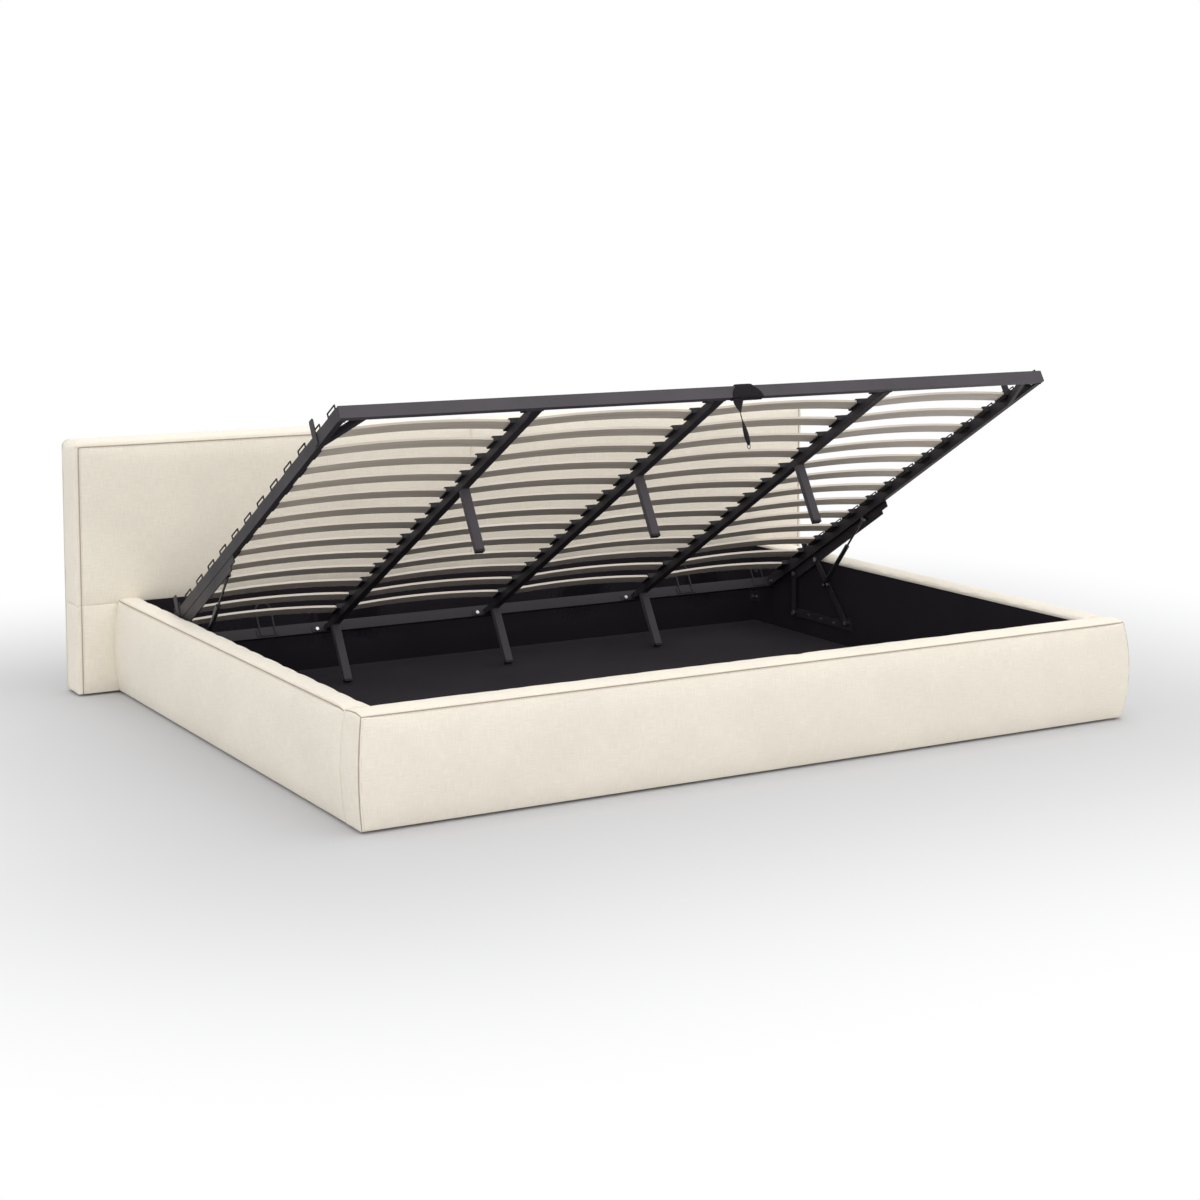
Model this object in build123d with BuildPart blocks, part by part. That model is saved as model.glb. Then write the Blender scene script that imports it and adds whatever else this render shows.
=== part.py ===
"""Upholstered storage bed with a slatted frame that lifts at the foot.

X runs from the left rail to the right one, Y from the foot to the headboard and Z up.
The origin is on the floor, in the middle of the bed's outer box.
The slatted frame is drawn raised, carried by two pairs of links and two gas struts.
"""

import os
from math import cos, hypot, radians, sin, sqrt

from build123d import *

os.makedirs("parts", exist_ok=True)

# Whole bed
bed_width = 2830
bed_length = 2115
rail_height = 338
headboard_height = 910
headboard_overhang = 148

# Clearances
seat_gap = 0.3
running_gap = 0.05
overrun = 5

# Padded rails and foot
pad_crown = 18
top_crown = 5
pad_bottom = 8
cap_thickness = 16
rail_pad_thickness = 50
rail_board_thickness = 34
lining_thickness = 4
foot_pad_thickness = 62
foot_board_thickness = 44

# Headboard, in two halves that meet in the middle
headboard_pad_thickness = 50
headboard_board_thickness = 80
back_cover_thickness = 10
headboard_panel_thickness = 18
headboard_stud_width = 60
headboard_wrap = 12
headboard_seam_height = 327
headboard_crown = 8
headboard_side_crown = 12
headboard_edge_crown = 2
headboard_corner_radius = 25

# Storage box
glide_height = 6
glide_radius = 15
glide_shares = (-0.9, -0.3, 0.3, 0.9)
runner_height = 4
runner_width = 60
runner_count = 5
runner_inset = 2
floor_panel_thickness = 5
head_lining_thickness = 5
head_lining_height = 328
corner_bracket_low_height = 90
corner_bracket_height = 41
corner_bracket_flange = 28
corner_bracket_thickness = 2
box_bolt_radius = 5
box_bolt_height = 3

# Slatted frame, in its own plane
frame_length = 1925
frame_clearance = 5
frame_tilt = 30.35
tube_width = 20
tube_height = 40
tube_wall = 1.5
plug_depth = 8
beam_width = 30
beam_height = 24
slat_width = 53
slat_thickness = 8
slat_bow = 15
slat_pitch = 131
first_slat = 55
last_slat_clear = 150
slat_play = 0.3

# Slat holders
holder_length = 62
holder_depth = 30
holder_height = 17
holder_floor = 3
holder_roof = 2.6
holder_back = 6
jaw_depth = 24
jaw_wall = 6
jaw_flange = 4
jaw_flange_thickness = 2
hook_height = 16
hook_depth = 4
hook_thickness = 3
hook_plate_thickness = 2

# Legs under the beams
leg_width = 30
leg_depth = 20
leg_cap_height = 8
leg_cap_lip = 1
upper_leg_row = 612
lower_leg_from_head = 85

# Braces, plates and bolts of the frame
brace_width = 15
brace_height = 20
brace_on_foot = 80
brace_on_side = 175
end_plate_length = 50
end_plate_return = 40
end_plate_height = 20
end_plate_thickness = 3
frame_bolt_radius = 6.5
frame_bolt_height = 6
end_plate_bolt = 32
side_bolt_from_end = 40

# Mattress stops and wire hoops
foot_stop_row = 200
head_stop_from_head = 305
stop_width = 30
stop_thickness = 3
stop_rise = 50
stop_drop = 35
hoop_offset = 900
hoop_width = 64
hoop_rise = 95
hoop_wire = 6
hoop_plate_width = 84
hoop_plate_height = 26
hoop_plate_thickness = 3
hoop_plate_top = 8
hoop_weld = 2
wave_offset = 1256
wave_width = 53
wave_rise = 58
wave_dip = 30
wave_wire = 5
wave_peak_radius = 9
wave_plate_width = 66

# Lift linkage
rear_pivot_from_head = 308
rear_pivot_height = 90
rear_link_length = 159
front_pivot_from_head = 661
front_pivot_height = 104
lift_pivot_from_end = 197
lift_pivot_depth = 59
front_bracket_step = 170
front_bracket_depth = 66
strut_bracket_step = 563
strut_bracket_depth = 58
strut_pivot_length = 180
link_width = 24
link_thickness = 6
base_plate_thickness = 5
base_plate_bottom_height = 74
base_plate_top_height = 106
base_plate_overhang = 28
base_plate_ear_radius = 18
base_screw_radius = 6
base_screw_height = 2.5
base_screw_count = 3
bracket_gap = 1.5
bracket_thickness = 4
bracket_drop = 40
bracket_flange_thickness = 3
bracket_head_overhang = 22
bracket_foot_overhang = 135
bracket_corner = 12
bracket_notch_length = 40
bracket_notch_height = 14
link_gap = 1.5
pin_radius = 4
pin_collar_radius = 7
pin_head_radius = 9
pin_head_height = 4
pin_end_radius = 6
pin_end_height = 1.1
eye_thickness = 10
eye_gap = 10

# Gas struts
cylinder_radius = 9
cylinder_length = 233
cylinder_neck_radius = 4.5
cylinder_neck_length = 20
cylinder_bore_start = 30
rod_radius = 4
rod_length = 230

# Pull strap on the foot tube
strap_left = 34
strap_width = 117
strap_thickness = 3
strap_rise = 8
strap_hinge_gap = 0.3
strap_neck_width = 22
strap_neck_drop = 47
strap_neck_offset = 25
strap_leaf_width = 40
strap_leaf_drop = 96
strap_leaf_offset = 40
strap_tip_width = 13
strap_tip_drop = 153
strap_tip_offset = 58
ring_hole_radius = 2
ring_hole_inset = 5
ring_radius = 8
ring_wire = 2.6

# Worked-out places of the box
rail_thickness = rail_pad_thickness + rail_board_thickness + lining_thickness
foot_thickness = foot_pad_thickness + foot_board_thickness + lining_thickness
headboard_thickness = headboard_pad_thickness + headboard_board_thickness + back_cover_thickness
half_width = bed_width / 2
foot_y = -(bed_length + headboard_thickness - pad_crown) / 2
head_y = foot_y + bed_length
foot_inner_y = foot_y + foot_thickness
head_inner_y = head_y - head_lining_thickness
inner_half_width = half_width - rail_thickness
board_top = rail_height - cap_thickness
pad_middle = (pad_bottom + rail_height) / 2
headboard_half_width = half_width + headboard_overhang
board_front_y = head_y + headboard_pad_thickness
board_back_y = board_front_y + headboard_board_thickness
floor_top = runner_height + floor_panel_thickness

# Layers of the linkage, measured from the middle of the bed
base_plate_x = inner_half_width - base_plate_thickness
bracket_outer_x = base_plate_x - bracket_gap
bracket_inner_x = bracket_outer_x - bracket_thickness
link_outer_x = bracket_inner_x - link_gap
link_inner_x = link_outer_x - link_thickness
eye_outer_x = link_inner_x - eye_gap
eye_inner_x = eye_outer_x - eye_thickness

# Frame width and the middles of its lengthwise tubes
frame_half_width = inner_half_width - frame_clearance
side_tube_face = frame_half_width - tube_width
side_tube_x = frame_half_width - tube_width / 2
beam_places = (-frame_half_width / 2, 0, frame_half_width / 2)
slat_count = int((frame_length - first_slat - last_slat_clear) // slat_pitch) + 1
slat_rows = [first_slat + slat_pitch * n for n in range(slat_count)]
leg_rows = (upper_leg_row, frame_length - lower_leg_from_head)
beam_top = beam_height - tube_height
beam_middle = beam_height / 2 - tube_height
stop_rows = (foot_stop_row, frame_length - head_stop_from_head)

# Pivots and the frame's plane, raised
tilt = radians(frame_tilt)
along = Vector(0, cos(tilt), -sin(tilt))
upward = Vector(0, sin(tilt), cos(tilt))
lift_pivot_row = frame_length - lift_pivot_from_end
rear_pivot = Vector(0, head_y - rear_pivot_from_head, rear_pivot_height)
front_pivot = Vector(0, head_y - front_pivot_from_head, front_pivot_height)
lift_pivot = rear_pivot + Vector(0, 0, rear_link_length)
frame_corner = lift_pivot - along * lift_pivot_row + upward * lift_pivot_depth
frame_plane = Plane(origin=frame_corner, x_dir=(1, 0, 0), z_dir=upward)


def on_frame(x, row, height):
    """A point of the raised frame: across, from its foot end, and above its top face."""
    return frame_plane.from_local_coords(Vector(x, row, height))


front_bracket_pivot = on_frame(0, lift_pivot_row - front_bracket_step, -front_bracket_depth)
strut_bracket_pivot = on_frame(0, lift_pivot_row - strut_bracket_step, -strut_bracket_depth)
front_link_line = front_bracket_pivot - front_pivot
strut_link_pivot = front_pivot + front_link_line.normalized() * strut_pivot_length


def lowered_frame_top():
    """Height of the frame's top when it lies flat: its rear pivot is where two circles cross."""
    step_y = front_pivot.Y + front_bracket_step - rear_pivot.Y
    step_z = front_pivot.Z + front_bracket_depth - lift_pivot_depth - rear_pivot.Z
    apart = hypot(step_y, step_z)
    share = (rear_link_length**2 - front_link_line.length**2 + apart**2) / (2 * apart)
    side = sqrt(rear_link_length**2 - share**2)
    return rear_pivot.Z + (share * step_z - side * step_y) / apart + lift_pivot_depth


leg_length = lowered_frame_top() - tube_height - floor_top - seat_gap


def write(piece, name):
    """Label a finished piece and write it to its own file."""
    piece.part.label = name
    export_step(piece.part, f"parts/{name}.step")


def write_pair(left_piece, name):
    """Write a piece of the left side and its mirror image on the right."""
    write(left_piece, f"{name}_left")
    with BuildPart() as right_piece:
        mirror(left_piece.part, about=Plane.YZ)
    write(right_piece, f"{name}_right")


def block(x_range, y_range, z_range, mode=Mode.ADD):
    """A rectangular solid between two places on each axis."""
    size = (x_range[1] - x_range[0], y_range[1] - y_range[0], z_range[1] - z_range[0])
    with Locations((x_range[0], y_range[0], z_range[0])):
        Box(*size, align=(Align.MIN, Align.MIN, Align.MIN), mode=mode)


def pin(x_from, x_to, pivot, radius, mode=Mode.ADD):
    """A round solid across the bed, on a pivot's line."""
    with Locations(((x_from + x_to) / 2, pivot.Y, pivot.Z)):
        Cylinder(radius, abs(x_to - x_from), rotation=(0, 90, 0), mode=mode)


def facing_foot(y):
    """An upright plane across the bed, drawn in X and Z."""
    return Plane.XZ.offset(-y)


def across_frame(row):
    """A plane square to the frame's length, drawn across and up from its top face."""
    return Plane(origin=on_frame(0, row, 0), x_dir=(1, 0, 0), z_dir=-along)


def beside_frame(x):
    """A plane along the frame's length, drawn from its foot end and up from its top face."""
    return Plane(origin=on_frame(x, 0, 0), x_dir=along, z_dir=(1, 0, 0))


def make_side_rail():
    """The pad, board and lining of the left rail, and their mirror images."""
    outer = -half_width
    pad_inner = outer + rail_pad_thickness
    inner = outer + rail_thickness
    lining_outer = inner - lining_thickness
    with BuildPart() as side_rail_pad:
        with BuildSketch(facing_foot(foot_inner_y)):
            with BuildLine():
                Polyline(
                    (inner, rail_height),
                    (inner, board_top),
                    (pad_inner, board_top),
                    (pad_inner, pad_bottom),
                    (outer, pad_bottom),
                )
                ThreePointArc((outer, pad_bottom), (outer - pad_crown, pad_middle), (outer, rail_height))
                crown = ((outer + inner) / 2, rail_height + top_crown)
                ThreePointArc((outer, rail_height), crown, (inner, rail_height))
            make_face()
        extrude(amount=-(head_y - foot_inner_y))
    write_pair(side_rail_pad, "side_rail_pad")

    with BuildPart() as side_rail_board:
        board_start_y = foot_inner_y - lining_thickness
        block((pad_inner, lining_outer), (board_start_y, head_y), (glide_height, board_top))
    write_pair(side_rail_board, "side_rail_board")

    with BuildPart() as side_lining:
        block((lining_outer, inner), (foot_inner_y, head_y), (glide_height, board_top))
    write_pair(side_lining, "side_lining")


def make_foot():
    """The padded foot, crowned to the front and at both ends, with its board and lining."""
    board_half_width = half_width - rail_pad_thickness
    board_y = foot_y + foot_pad_thickness
    lining_y = board_y + foot_board_thickness
    with BuildPart() as foot_pad:
        with BuildSketch(Plane.YZ.offset(-half_width - pad_crown)):
            with BuildLine():
                Polyline((foot_inner_y, rail_height), (foot_inner_y, pad_bottom), (foot_y, pad_bottom))
                ThreePointArc((foot_y, pad_bottom), (foot_y - pad_crown, pad_middle), (foot_y, rail_height))
                crown = ((foot_y + foot_inner_y) / 2, rail_height + top_crown)
                ThreePointArc((foot_y, rail_height), crown, (foot_inner_y, rail_height))
            make_face()
        extrude(amount=bed_width + 2 * pad_crown)
        with BuildSketch(facing_foot(foot_inner_y)):
            with BuildLine():
                over_top = rail_height + top_crown + overrun
                Polyline((half_width, rail_height), (half_width, over_top), (-half_width, over_top),
                         (-half_width, rail_height))
                left_crown = (-half_width - pad_crown, pad_middle)
                ThreePointArc((-half_width, rail_height), left_crown, (-half_width, pad_bottom))
                Line((-half_width, pad_bottom), (half_width, pad_bottom))
                right_crown = (half_width + pad_crown, pad_middle)
                ThreePointArc((half_width, pad_bottom), right_crown, (half_width, rail_height))
            make_face()
        extrude(amount=foot_thickness + pad_crown, mode=Mode.INTERSECT)
        block((-board_half_width, board_half_width), (board_y, foot_inner_y + overrun),
              (0, board_top), mode=Mode.SUBTRACT)
    write(foot_pad, "foot_pad")

    with BuildPart() as foot_board:
        block((-board_half_width, board_half_width), (board_y, lining_y), (glide_height, board_top))
    write(foot_board, "foot_board")

    with BuildPart() as foot_lining:
        lining_half_width = inner_half_width + lining_thickness
        block((-lining_half_width, lining_half_width), (lining_y, foot_inner_y), (glide_height, board_top))
    write(foot_lining, "foot_lining")


def top_outer_edge(piece):
    """The upper left edge that runs through a headboard piece."""
    return piece.edges().filter_by(Axis.Y).group_by(Axis.Z)[-1].sort_by(Axis.X)[0]


def make_headboard():
    """The left half's board and pads, their mirror images, and the back cover."""
    outer = -headboard_half_width
    board_outer = outer + headboard_wrap
    board_height = headboard_height - headboard_wrap
    with BuildPart() as board_outline:
        block((board_outer, 0), (board_front_y, board_back_y), (glide_height, board_height))
        fillet(top_outer_edge(board_outline), radius=headboard_corner_radius - headboard_wrap)
    # The board is a front panel on upright and level studs, open to the back cover
    cavity_height = (board_height - glide_height - 3 * headboard_stud_width) / 2
    cavity_width = (-board_outer - 3 * headboard_stud_width) / 2
    with BuildPart() as headboard_board:
        add(board_outline.part)
        with BuildSketch(facing_foot(board_back_y)):
            with Locations((board_outer / 2, (glide_height + board_height) / 2)):
                with GridLocations(cavity_width + headboard_stud_width, cavity_height + headboard_stud_width, 2, 2):
                    Rectangle(cavity_width, cavity_height)
        extrude(amount=headboard_board_thickness - headboard_panel_thickness, mode=Mode.SUBTRACT)
    write_pair(headboard_board, "headboard_board")

    with BuildPart() as upper_pad:
        block((outer, 0), (head_y - headboard_crown, board_back_y), (headboard_seam_height, headboard_height))
        fillet(top_outer_edge(upper_pad), radius=headboard_corner_radius)
        crown_start = rail_height + top_crown + headboard_wrap
        with BuildSketch(Plane.YZ.offset(outer)):
            with BuildLine():
                Polyline(
                    (head_y, crown_start),
                    (head_y, headboard_seam_height),
                    (board_back_y, headboard_seam_height),
                    (board_back_y, headboard_height),
                    (head_y, headboard_height),
                )
                crown = (head_y - headboard_crown, (crown_start + headboard_height) / 2)
                ThreePointArc((head_y, headboard_height), crown, (head_y, crown_start))
            make_face()
        extrude(amount=headboard_half_width, mode=Mode.INTERSECT)
        with BuildSketch(Plane.XY.offset(headboard_seam_height)):
            with BuildLine():
                edge_y = head_y - headboard_edge_crown
                Polyline((0, edge_y), (0, board_back_y), (outer, board_back_y), (outer, edge_y))
                ThreePointArc((outer, edge_y), (outer / 2, head_y - headboard_side_crown), (0, edge_y))
            make_face()
        extrude(amount=headboard_height - headboard_seam_height, mode=Mode.INTERSECT)
        add(board_outline.part, mode=Mode.SUBTRACT)
    write_pair(upper_pad, "headboard_upper_pad")

    with BuildPart() as lower_pad:
        block((outer, 0), (head_y, board_back_y), (pad_bottom, headboard_seam_height))
        block((board_outer, 0), (board_front_y, board_back_y), (0, headboard_seam_height), mode=Mode.SUBTRACT)
    write_pair(lower_pad, "headboard_lower_pad")

    with BuildPart() as cover_half:
        block((outer, 0), (board_back_y, board_back_y + back_cover_thickness), (pad_bottom, headboard_height))
        fillet(top_outer_edge(cover_half), radius=headboard_corner_radius)
    # The halves stay two panels, which meet in the middle
    right_half = cover_half.part.mirror(Plane.YZ)
    headboard_back_cover = Compound([*cover_half.part.solids(), *right_half.solids()])
    headboard_back_cover.label = "headboard_back_cover"
    export_step(headboard_back_cover, "parts/headboard_back_cover.step")


def make_storage_box():
    """The two floor panels on their runners, the head linings and the glides under the boards."""
    with BuildPart() as floor_panel:
        block((-inner_half_width, 0), (foot_inner_y, head_inner_y), (runner_height, floor_top))
    write_pair(floor_panel, "floor_panel")

    with BuildPart() as head_lining:
        block((-inner_half_width, 0), (head_inner_y, head_y), (glide_height, head_lining_height))
    write_pair(head_lining, "head_lining")

    runner_travel = 2 * (inner_half_width - runner_inset) - runner_width
    runner_length = head_inner_y - foot_inner_y - 2 * runner_inset
    with BuildPart() as floor_runners:
        with BuildSketch():
            with Locations((0, (foot_inner_y + head_inner_y) / 2)):
                with GridLocations(runner_travel / (runner_count - 1), 0, runner_count, 1):
                    Rectangle(runner_width, runner_length)
        extrude(amount=runner_height)
    write(floor_runners, "floor_runners")

    rail_glide_x = half_width - rail_pad_thickness - rail_board_thickness / 2
    foot_glide_y = foot_y + foot_pad_thickness + foot_board_thickness / 2
    headboard_glide_y = (board_front_y + board_back_y) / 2
    middle_y = (foot_y + head_y) / 2
    with BuildPart() as glides:
        with BuildSketch():
            for share in glide_shares:
                along_rail = middle_y + share * bed_length / 2
                with Locations((-rail_glide_x, along_rail), (rail_glide_x, along_rail),
                               (share * half_width, foot_glide_y),
                               (share * headboard_half_width, headboard_glide_y)):
                    Circle(glide_radius)
        extrude(amount=glide_height)
    write(glides, "glides")


def make_box_fittings():
    """The angle brackets in the four inner corners, and every bolt of the box."""
    x_wall = inner_half_width
    flange = corner_bracket_flange
    thick = corner_bracket_thickness
    z_range = (corner_bracket_low_height, corner_bracket_low_height + corner_bracket_height)
    with BuildPart() as left_brackets:
        block((-x_wall, thick - x_wall), (foot_inner_y, foot_inner_y + flange), z_range)
        block((-x_wall, flange - x_wall), (foot_inner_y, foot_inner_y + thick), z_range)
        block((-x_wall, thick - x_wall), (head_inner_y - flange, head_inner_y), z_range)
        block((-x_wall, flange - x_wall), (head_inner_y - thick, head_inner_y), z_range)
    with BuildPart() as corner_brackets:
        add(left_brackets.part)
        mirror(left_brackets.part, about=Plane.YZ)
    write(corner_brackets, "corner_brackets")

    bolt_z = corner_bracket_low_height + corner_bracket_height / 2
    on_flange = (flange + thick) / 2
    bolt_x = x_wall - on_flange
    screw_span = front_pivot_from_head - rear_pivot_from_head
    screw_z = (base_plate_bottom_height + base_plate_top_height) / 2
    with BuildPart() as left_bolts:
        for y in (foot_inner_y + on_flange, head_inner_y - on_flange):
            pin(thick - x_wall, thick + box_bolt_height - x_wall, Vector(0, y, bolt_z), box_bolt_radius)
        bolt_faces = (foot_inner_y + thick, head_inner_y - thick - box_bolt_height)
        with BuildSketch(*[facing_foot(y) for y in bolt_faces]):
            with Locations((-bolt_x, bolt_z)):
                Circle(box_bolt_radius)
        extrude(amount=-box_bolt_height)
        for n in range(base_screw_count):
            y = front_pivot.Y + screw_span * (n + 1) / (base_screw_count + 1)
            screw_end = -base_plate_x + base_screw_height
            pin(-base_plate_x, screw_end, Vector(0, y, screw_z), base_screw_radius)
    with BuildPart() as box_bolts:
        add(left_bolts.part)
        mirror(left_bolts.part, about=Plane.YZ)
    write(box_bolts, "box_bolts")


def make_base_plate():
    """The plate on the left lining that carries the two lower pivots."""
    with BuildPart() as base_plate:
        with BuildSketch(Plane.YZ.offset(-inner_half_width)):
            plate_length = rear_pivot.Y - front_pivot.Y + 2 * base_plate_overhang
            plate_middle = (rear_pivot.Y + front_pivot.Y) / 2
            with Locations((plate_middle, (base_plate_bottom_height + base_plate_top_height) / 2)):
                Rectangle(plate_length, base_plate_top_height - base_plate_bottom_height)
            with Locations((rear_pivot.Y, rear_pivot.Z), (front_pivot.Y, front_pivot.Z)):
                Circle(base_plate_ear_radius)
            with Locations((rear_pivot.Y, rear_pivot.Z), (front_pivot.Y, front_pivot.Z)):
                Circle(pin_radius + running_gap, mode=Mode.SUBTRACT)
        extrude(amount=base_plate_thickness)
    write_pair(base_plate, "base_plate")


def link_plane(start, end):
    """A plane in the links' layer on the left, with its X from one pivot to the other."""
    middle = (start + end) / 2
    return Plane(origin=(-link_outer_x, middle.Y, middle.Z), x_dir=end - start, z_dir=(1, 0, 0))


def make_links():
    """The rear and front links of the left side, with their pivot bolts."""
    head_end_x = -(link_inner_x - running_gap - pin_head_height)
    collar_x = -(link_outer_x + seat_gap)
    plate_side_x = -(base_plate_x - seat_gap)
    with BuildPart() as rear_link:
        with BuildSketch(link_plane(rear_pivot, lift_pivot)):
            SlotCenterToCenter(rear_link_length, link_width)
            with GridLocations(rear_link_length, 0, 2, 1):
                Circle(pin_radius + running_gap, mode=Mode.SUBTRACT)
        extrude(amount=link_thickness)
    write_pair(rear_link, "rear_link")

    with BuildPart() as rear_pivots:
        for pivot in (rear_pivot, lift_pivot):
            pin(-(link_inner_x - running_gap), head_end_x, pivot, pin_head_radius)
        pin(-(inner_half_width - seat_gap), head_end_x, rear_pivot, pin_radius)
        pin(plate_side_x, collar_x, rear_pivot, pin_collar_radius)
        pin(plate_side_x, head_end_x, lift_pivot, pin_radius)
        pin(plate_side_x, plate_side_x + pin_end_height, lift_pivot, pin_end_radius)
        pin(-(bracket_inner_x - seat_gap), collar_x, lift_pivot, pin_collar_radius)
    write_pair(rear_pivots, "rear_pivots")

    link_length = front_link_line.length
    strut_place = strut_pivot_length - link_length / 2
    with BuildPart() as front_link:
        with BuildSketch(link_plane(front_pivot, front_bracket_pivot)):
            SlotCenterToCenter(link_length, link_width)
            with Locations((-link_length / 2, 0), (strut_place, 0), (link_length / 2, 0)):
                Circle(pin_radius + running_gap, mode=Mode.SUBTRACT)
        extrude(amount=link_thickness)
    write_pair(front_link, "front_link")

    inner_face_x = -(link_inner_x - running_gap)
    with BuildPart() as front_pivots:
        for pivot in (front_pivot, front_bracket_pivot):
            pin(inner_face_x, head_end_x, pivot, pin_head_radius)
        pin(-(inner_half_width - seat_gap), head_end_x, front_pivot, pin_radius)
        pin(plate_side_x, collar_x, front_pivot, pin_collar_radius)
        pin(-(bracket_inner_x - seat_gap), head_end_x, front_bracket_pivot, pin_radius)
        stud_end_x = -(eye_inner_x - seat_gap - pin_end_height)
        pin(-(link_outer_x + running_gap), stud_end_x, strut_link_pivot, pin_radius)
        pin(-(link_outer_x + running_gap + pin_end_height), -(link_outer_x + running_gap),
            strut_link_pivot, pin_collar_radius)
        pin(inner_face_x, -(eye_outer_x + seat_gap), strut_link_pivot, pin_collar_radius)
        pin(-(eye_inner_x - seat_gap), stud_end_x, strut_link_pivot, pin_end_radius)
    write_pair(front_pivots, "front_pivots")


def make_gas_strut():
    """The left gas strut: a cylinder on the front link's stud and a rod that slides in it."""
    strut_line = strut_bracket_pivot - strut_link_pivot
    strut_x = -(eye_outer_x + eye_inner_x) / 2
    strut_direction = strut_line.normalized()

    def strut_plane(distance):
        """A plane square to the strut, at a distance from the stud on the link."""
        centre = strut_link_pivot + strut_direction * distance
        return Plane(origin=(strut_x, centre.Y, centre.Z), x_dir=(1, 0, 0), z_dir=strut_direction)

    with BuildPart() as gas_cylinder:
        neck_start = pin_collar_radius + seat_gap
        with BuildSketch(strut_plane(neck_start)):
            Circle(cylinder_neck_radius)
        extrude(amount=cylinder_neck_length - neck_start)
        with BuildSketch(strut_plane(cylinder_neck_length)):
            Circle(cylinder_radius)
        extrude(amount=cylinder_length - cylinder_neck_length)
        pin(-eye_outer_x, -eye_inner_x, strut_link_pivot, cylinder_radius)
        pin(-eye_outer_x - overrun, -eye_inner_x + overrun, strut_link_pivot,
            pin_radius + running_gap, mode=Mode.SUBTRACT)
        with BuildSketch(strut_plane(cylinder_bore_start)):
            Circle(rod_radius + running_gap)
        extrude(amount=cylinder_length, mode=Mode.SUBTRACT)
    write_pair(gas_cylinder, "gas_cylinder")

    with BuildPart() as gas_rod:
        with BuildSketch(strut_plane(strut_line.length - rod_length)):
            Circle(rod_radius)
        extrude(amount=rod_length - cylinder_neck_radius)
        pin(-eye_outer_x, -eye_inner_x, strut_bracket_pivot, cylinder_radius)
        pin(-(bracket_inner_x - seat_gap), -eye_inner_x, strut_bracket_pivot, pin_radius)
    write_pair(gas_rod, "gas_rod")


def make_lift_bracket():
    """The angle plate under the left side tube, with the hole for the rear link's pivot."""
    last_row = lift_pivot_row + bracket_head_overhang
    first_row = lift_pivot_row - strut_bracket_step - bracket_foot_overhang
    low = -tube_height - bracket_drop
    with BuildPart() as lift_bracket:
        with BuildSketch(beside_frame(-bracket_outer_x)):
            Polygon(
                (first_row, -tube_height),
                (first_row, low + bracket_notch_height),
                (first_row + bracket_notch_length, low + bracket_notch_height),
                (first_row + bracket_notch_length, low),
                (last_row - bracket_corner, low),
                (last_row, low + bracket_corner),
                (last_row, -tube_height),
                align=None,
            )
            with Locations((lift_pivot_row, -lift_pivot_depth)):
                Circle(pin_radius + running_gap, mode=Mode.SUBTRACT)
        extrude(amount=bracket_thickness)
        with BuildSketch(beside_frame(-bracket_outer_x)):
            with Locations(((first_row + last_row) / 2, -tube_height - bracket_flange_thickness / 2)):
                Rectangle(last_row - first_row, bracket_flange_thickness)
        extrude(amount=bracket_outer_x - frame_half_width + tube_width)
    write_pair(lift_bracket, "lift_bracket")


def cross_tube(row):
    """A tube across the frame, open at both ends."""
    with BuildPart(frame_plane) as tube:
        block((-frame_half_width, frame_half_width), (row, row + tube_width), (-tube_height, 0))
        block(
            (-frame_half_width, frame_half_width),
            (row + tube_wall, row + tube_width - tube_wall),
            (tube_wall - tube_height, -tube_wall),
            mode=Mode.SUBTRACT,
        )
    return tube


def lengthwise_tubes(places, width, height):
    """Tubes along the frame between the two cross tubes, one at each place, level with their undersides."""
    with BuildPart() as tubes:
        with BuildSketch(across_frame(tube_width)):
            with Locations(*[(x, height / 2 - tube_height) for x in places]):
                Rectangle(width, height)
                Rectangle(width - 2 * tube_wall, height - 2 * tube_wall, mode=Mode.SUBTRACT)
        extrude(amount=-(frame_length - 2 * tube_width))
    return tubes


def make_frame_tubes():
    """The frame's foot, head and side tubes and its three beams, whose tops lie lower."""
    write(cross_tube(0), "frame_foot_tube")
    write(cross_tube(frame_length - tube_width), "frame_head_tube")
    write_pair(lengthwise_tubes((-side_tube_x,), tube_width, tube_height), "frame_side_tube")
    write(lengthwise_tubes(beam_places, beam_width, beam_height), "frame_beams")


def make_slats():
    """Four bays of bowed slats, each slat's ends inside its holders."""
    outer_end = side_tube_face - holder_back - slat_play
    inner_end = jaw_wall / 2 + slat_play
    spans = (
        (-outer_end, beam_places[0] - inner_end),
        (beam_places[0] + inner_end, beam_places[1] - inner_end),
        (beam_places[1] + inner_end, beam_places[2] - inner_end),
        (beam_places[2] + inner_end, outer_end),
    )
    low = beam_top + holder_floor + slat_play
    high = low + slat_thickness
    for bay, (start, end) in enumerate(spans, start=1):
        middle = (start + end) / 2
        with BuildPart() as slats:
            with BuildSketch(*[across_frame(row) for row in slat_rows]):
                with BuildLine():
                    ThreePointArc((start, low), (middle, low + slat_bow), (end, low))
                    Line((end, low), (end, high))
                    ThreePointArc((end, high), (middle, high + slat_bow), (start, high))
                    Line((start, high), (start, low))
                make_face()
            extrude(amount=slat_width / 2, both=True)
        write(slats, f"slats_bay_{bay}")


def at_each_slat(height):
    """The places of the slats on a plane beside the frame, at one height."""
    return Locations(*[(row, height) for row in slat_rows])


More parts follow.
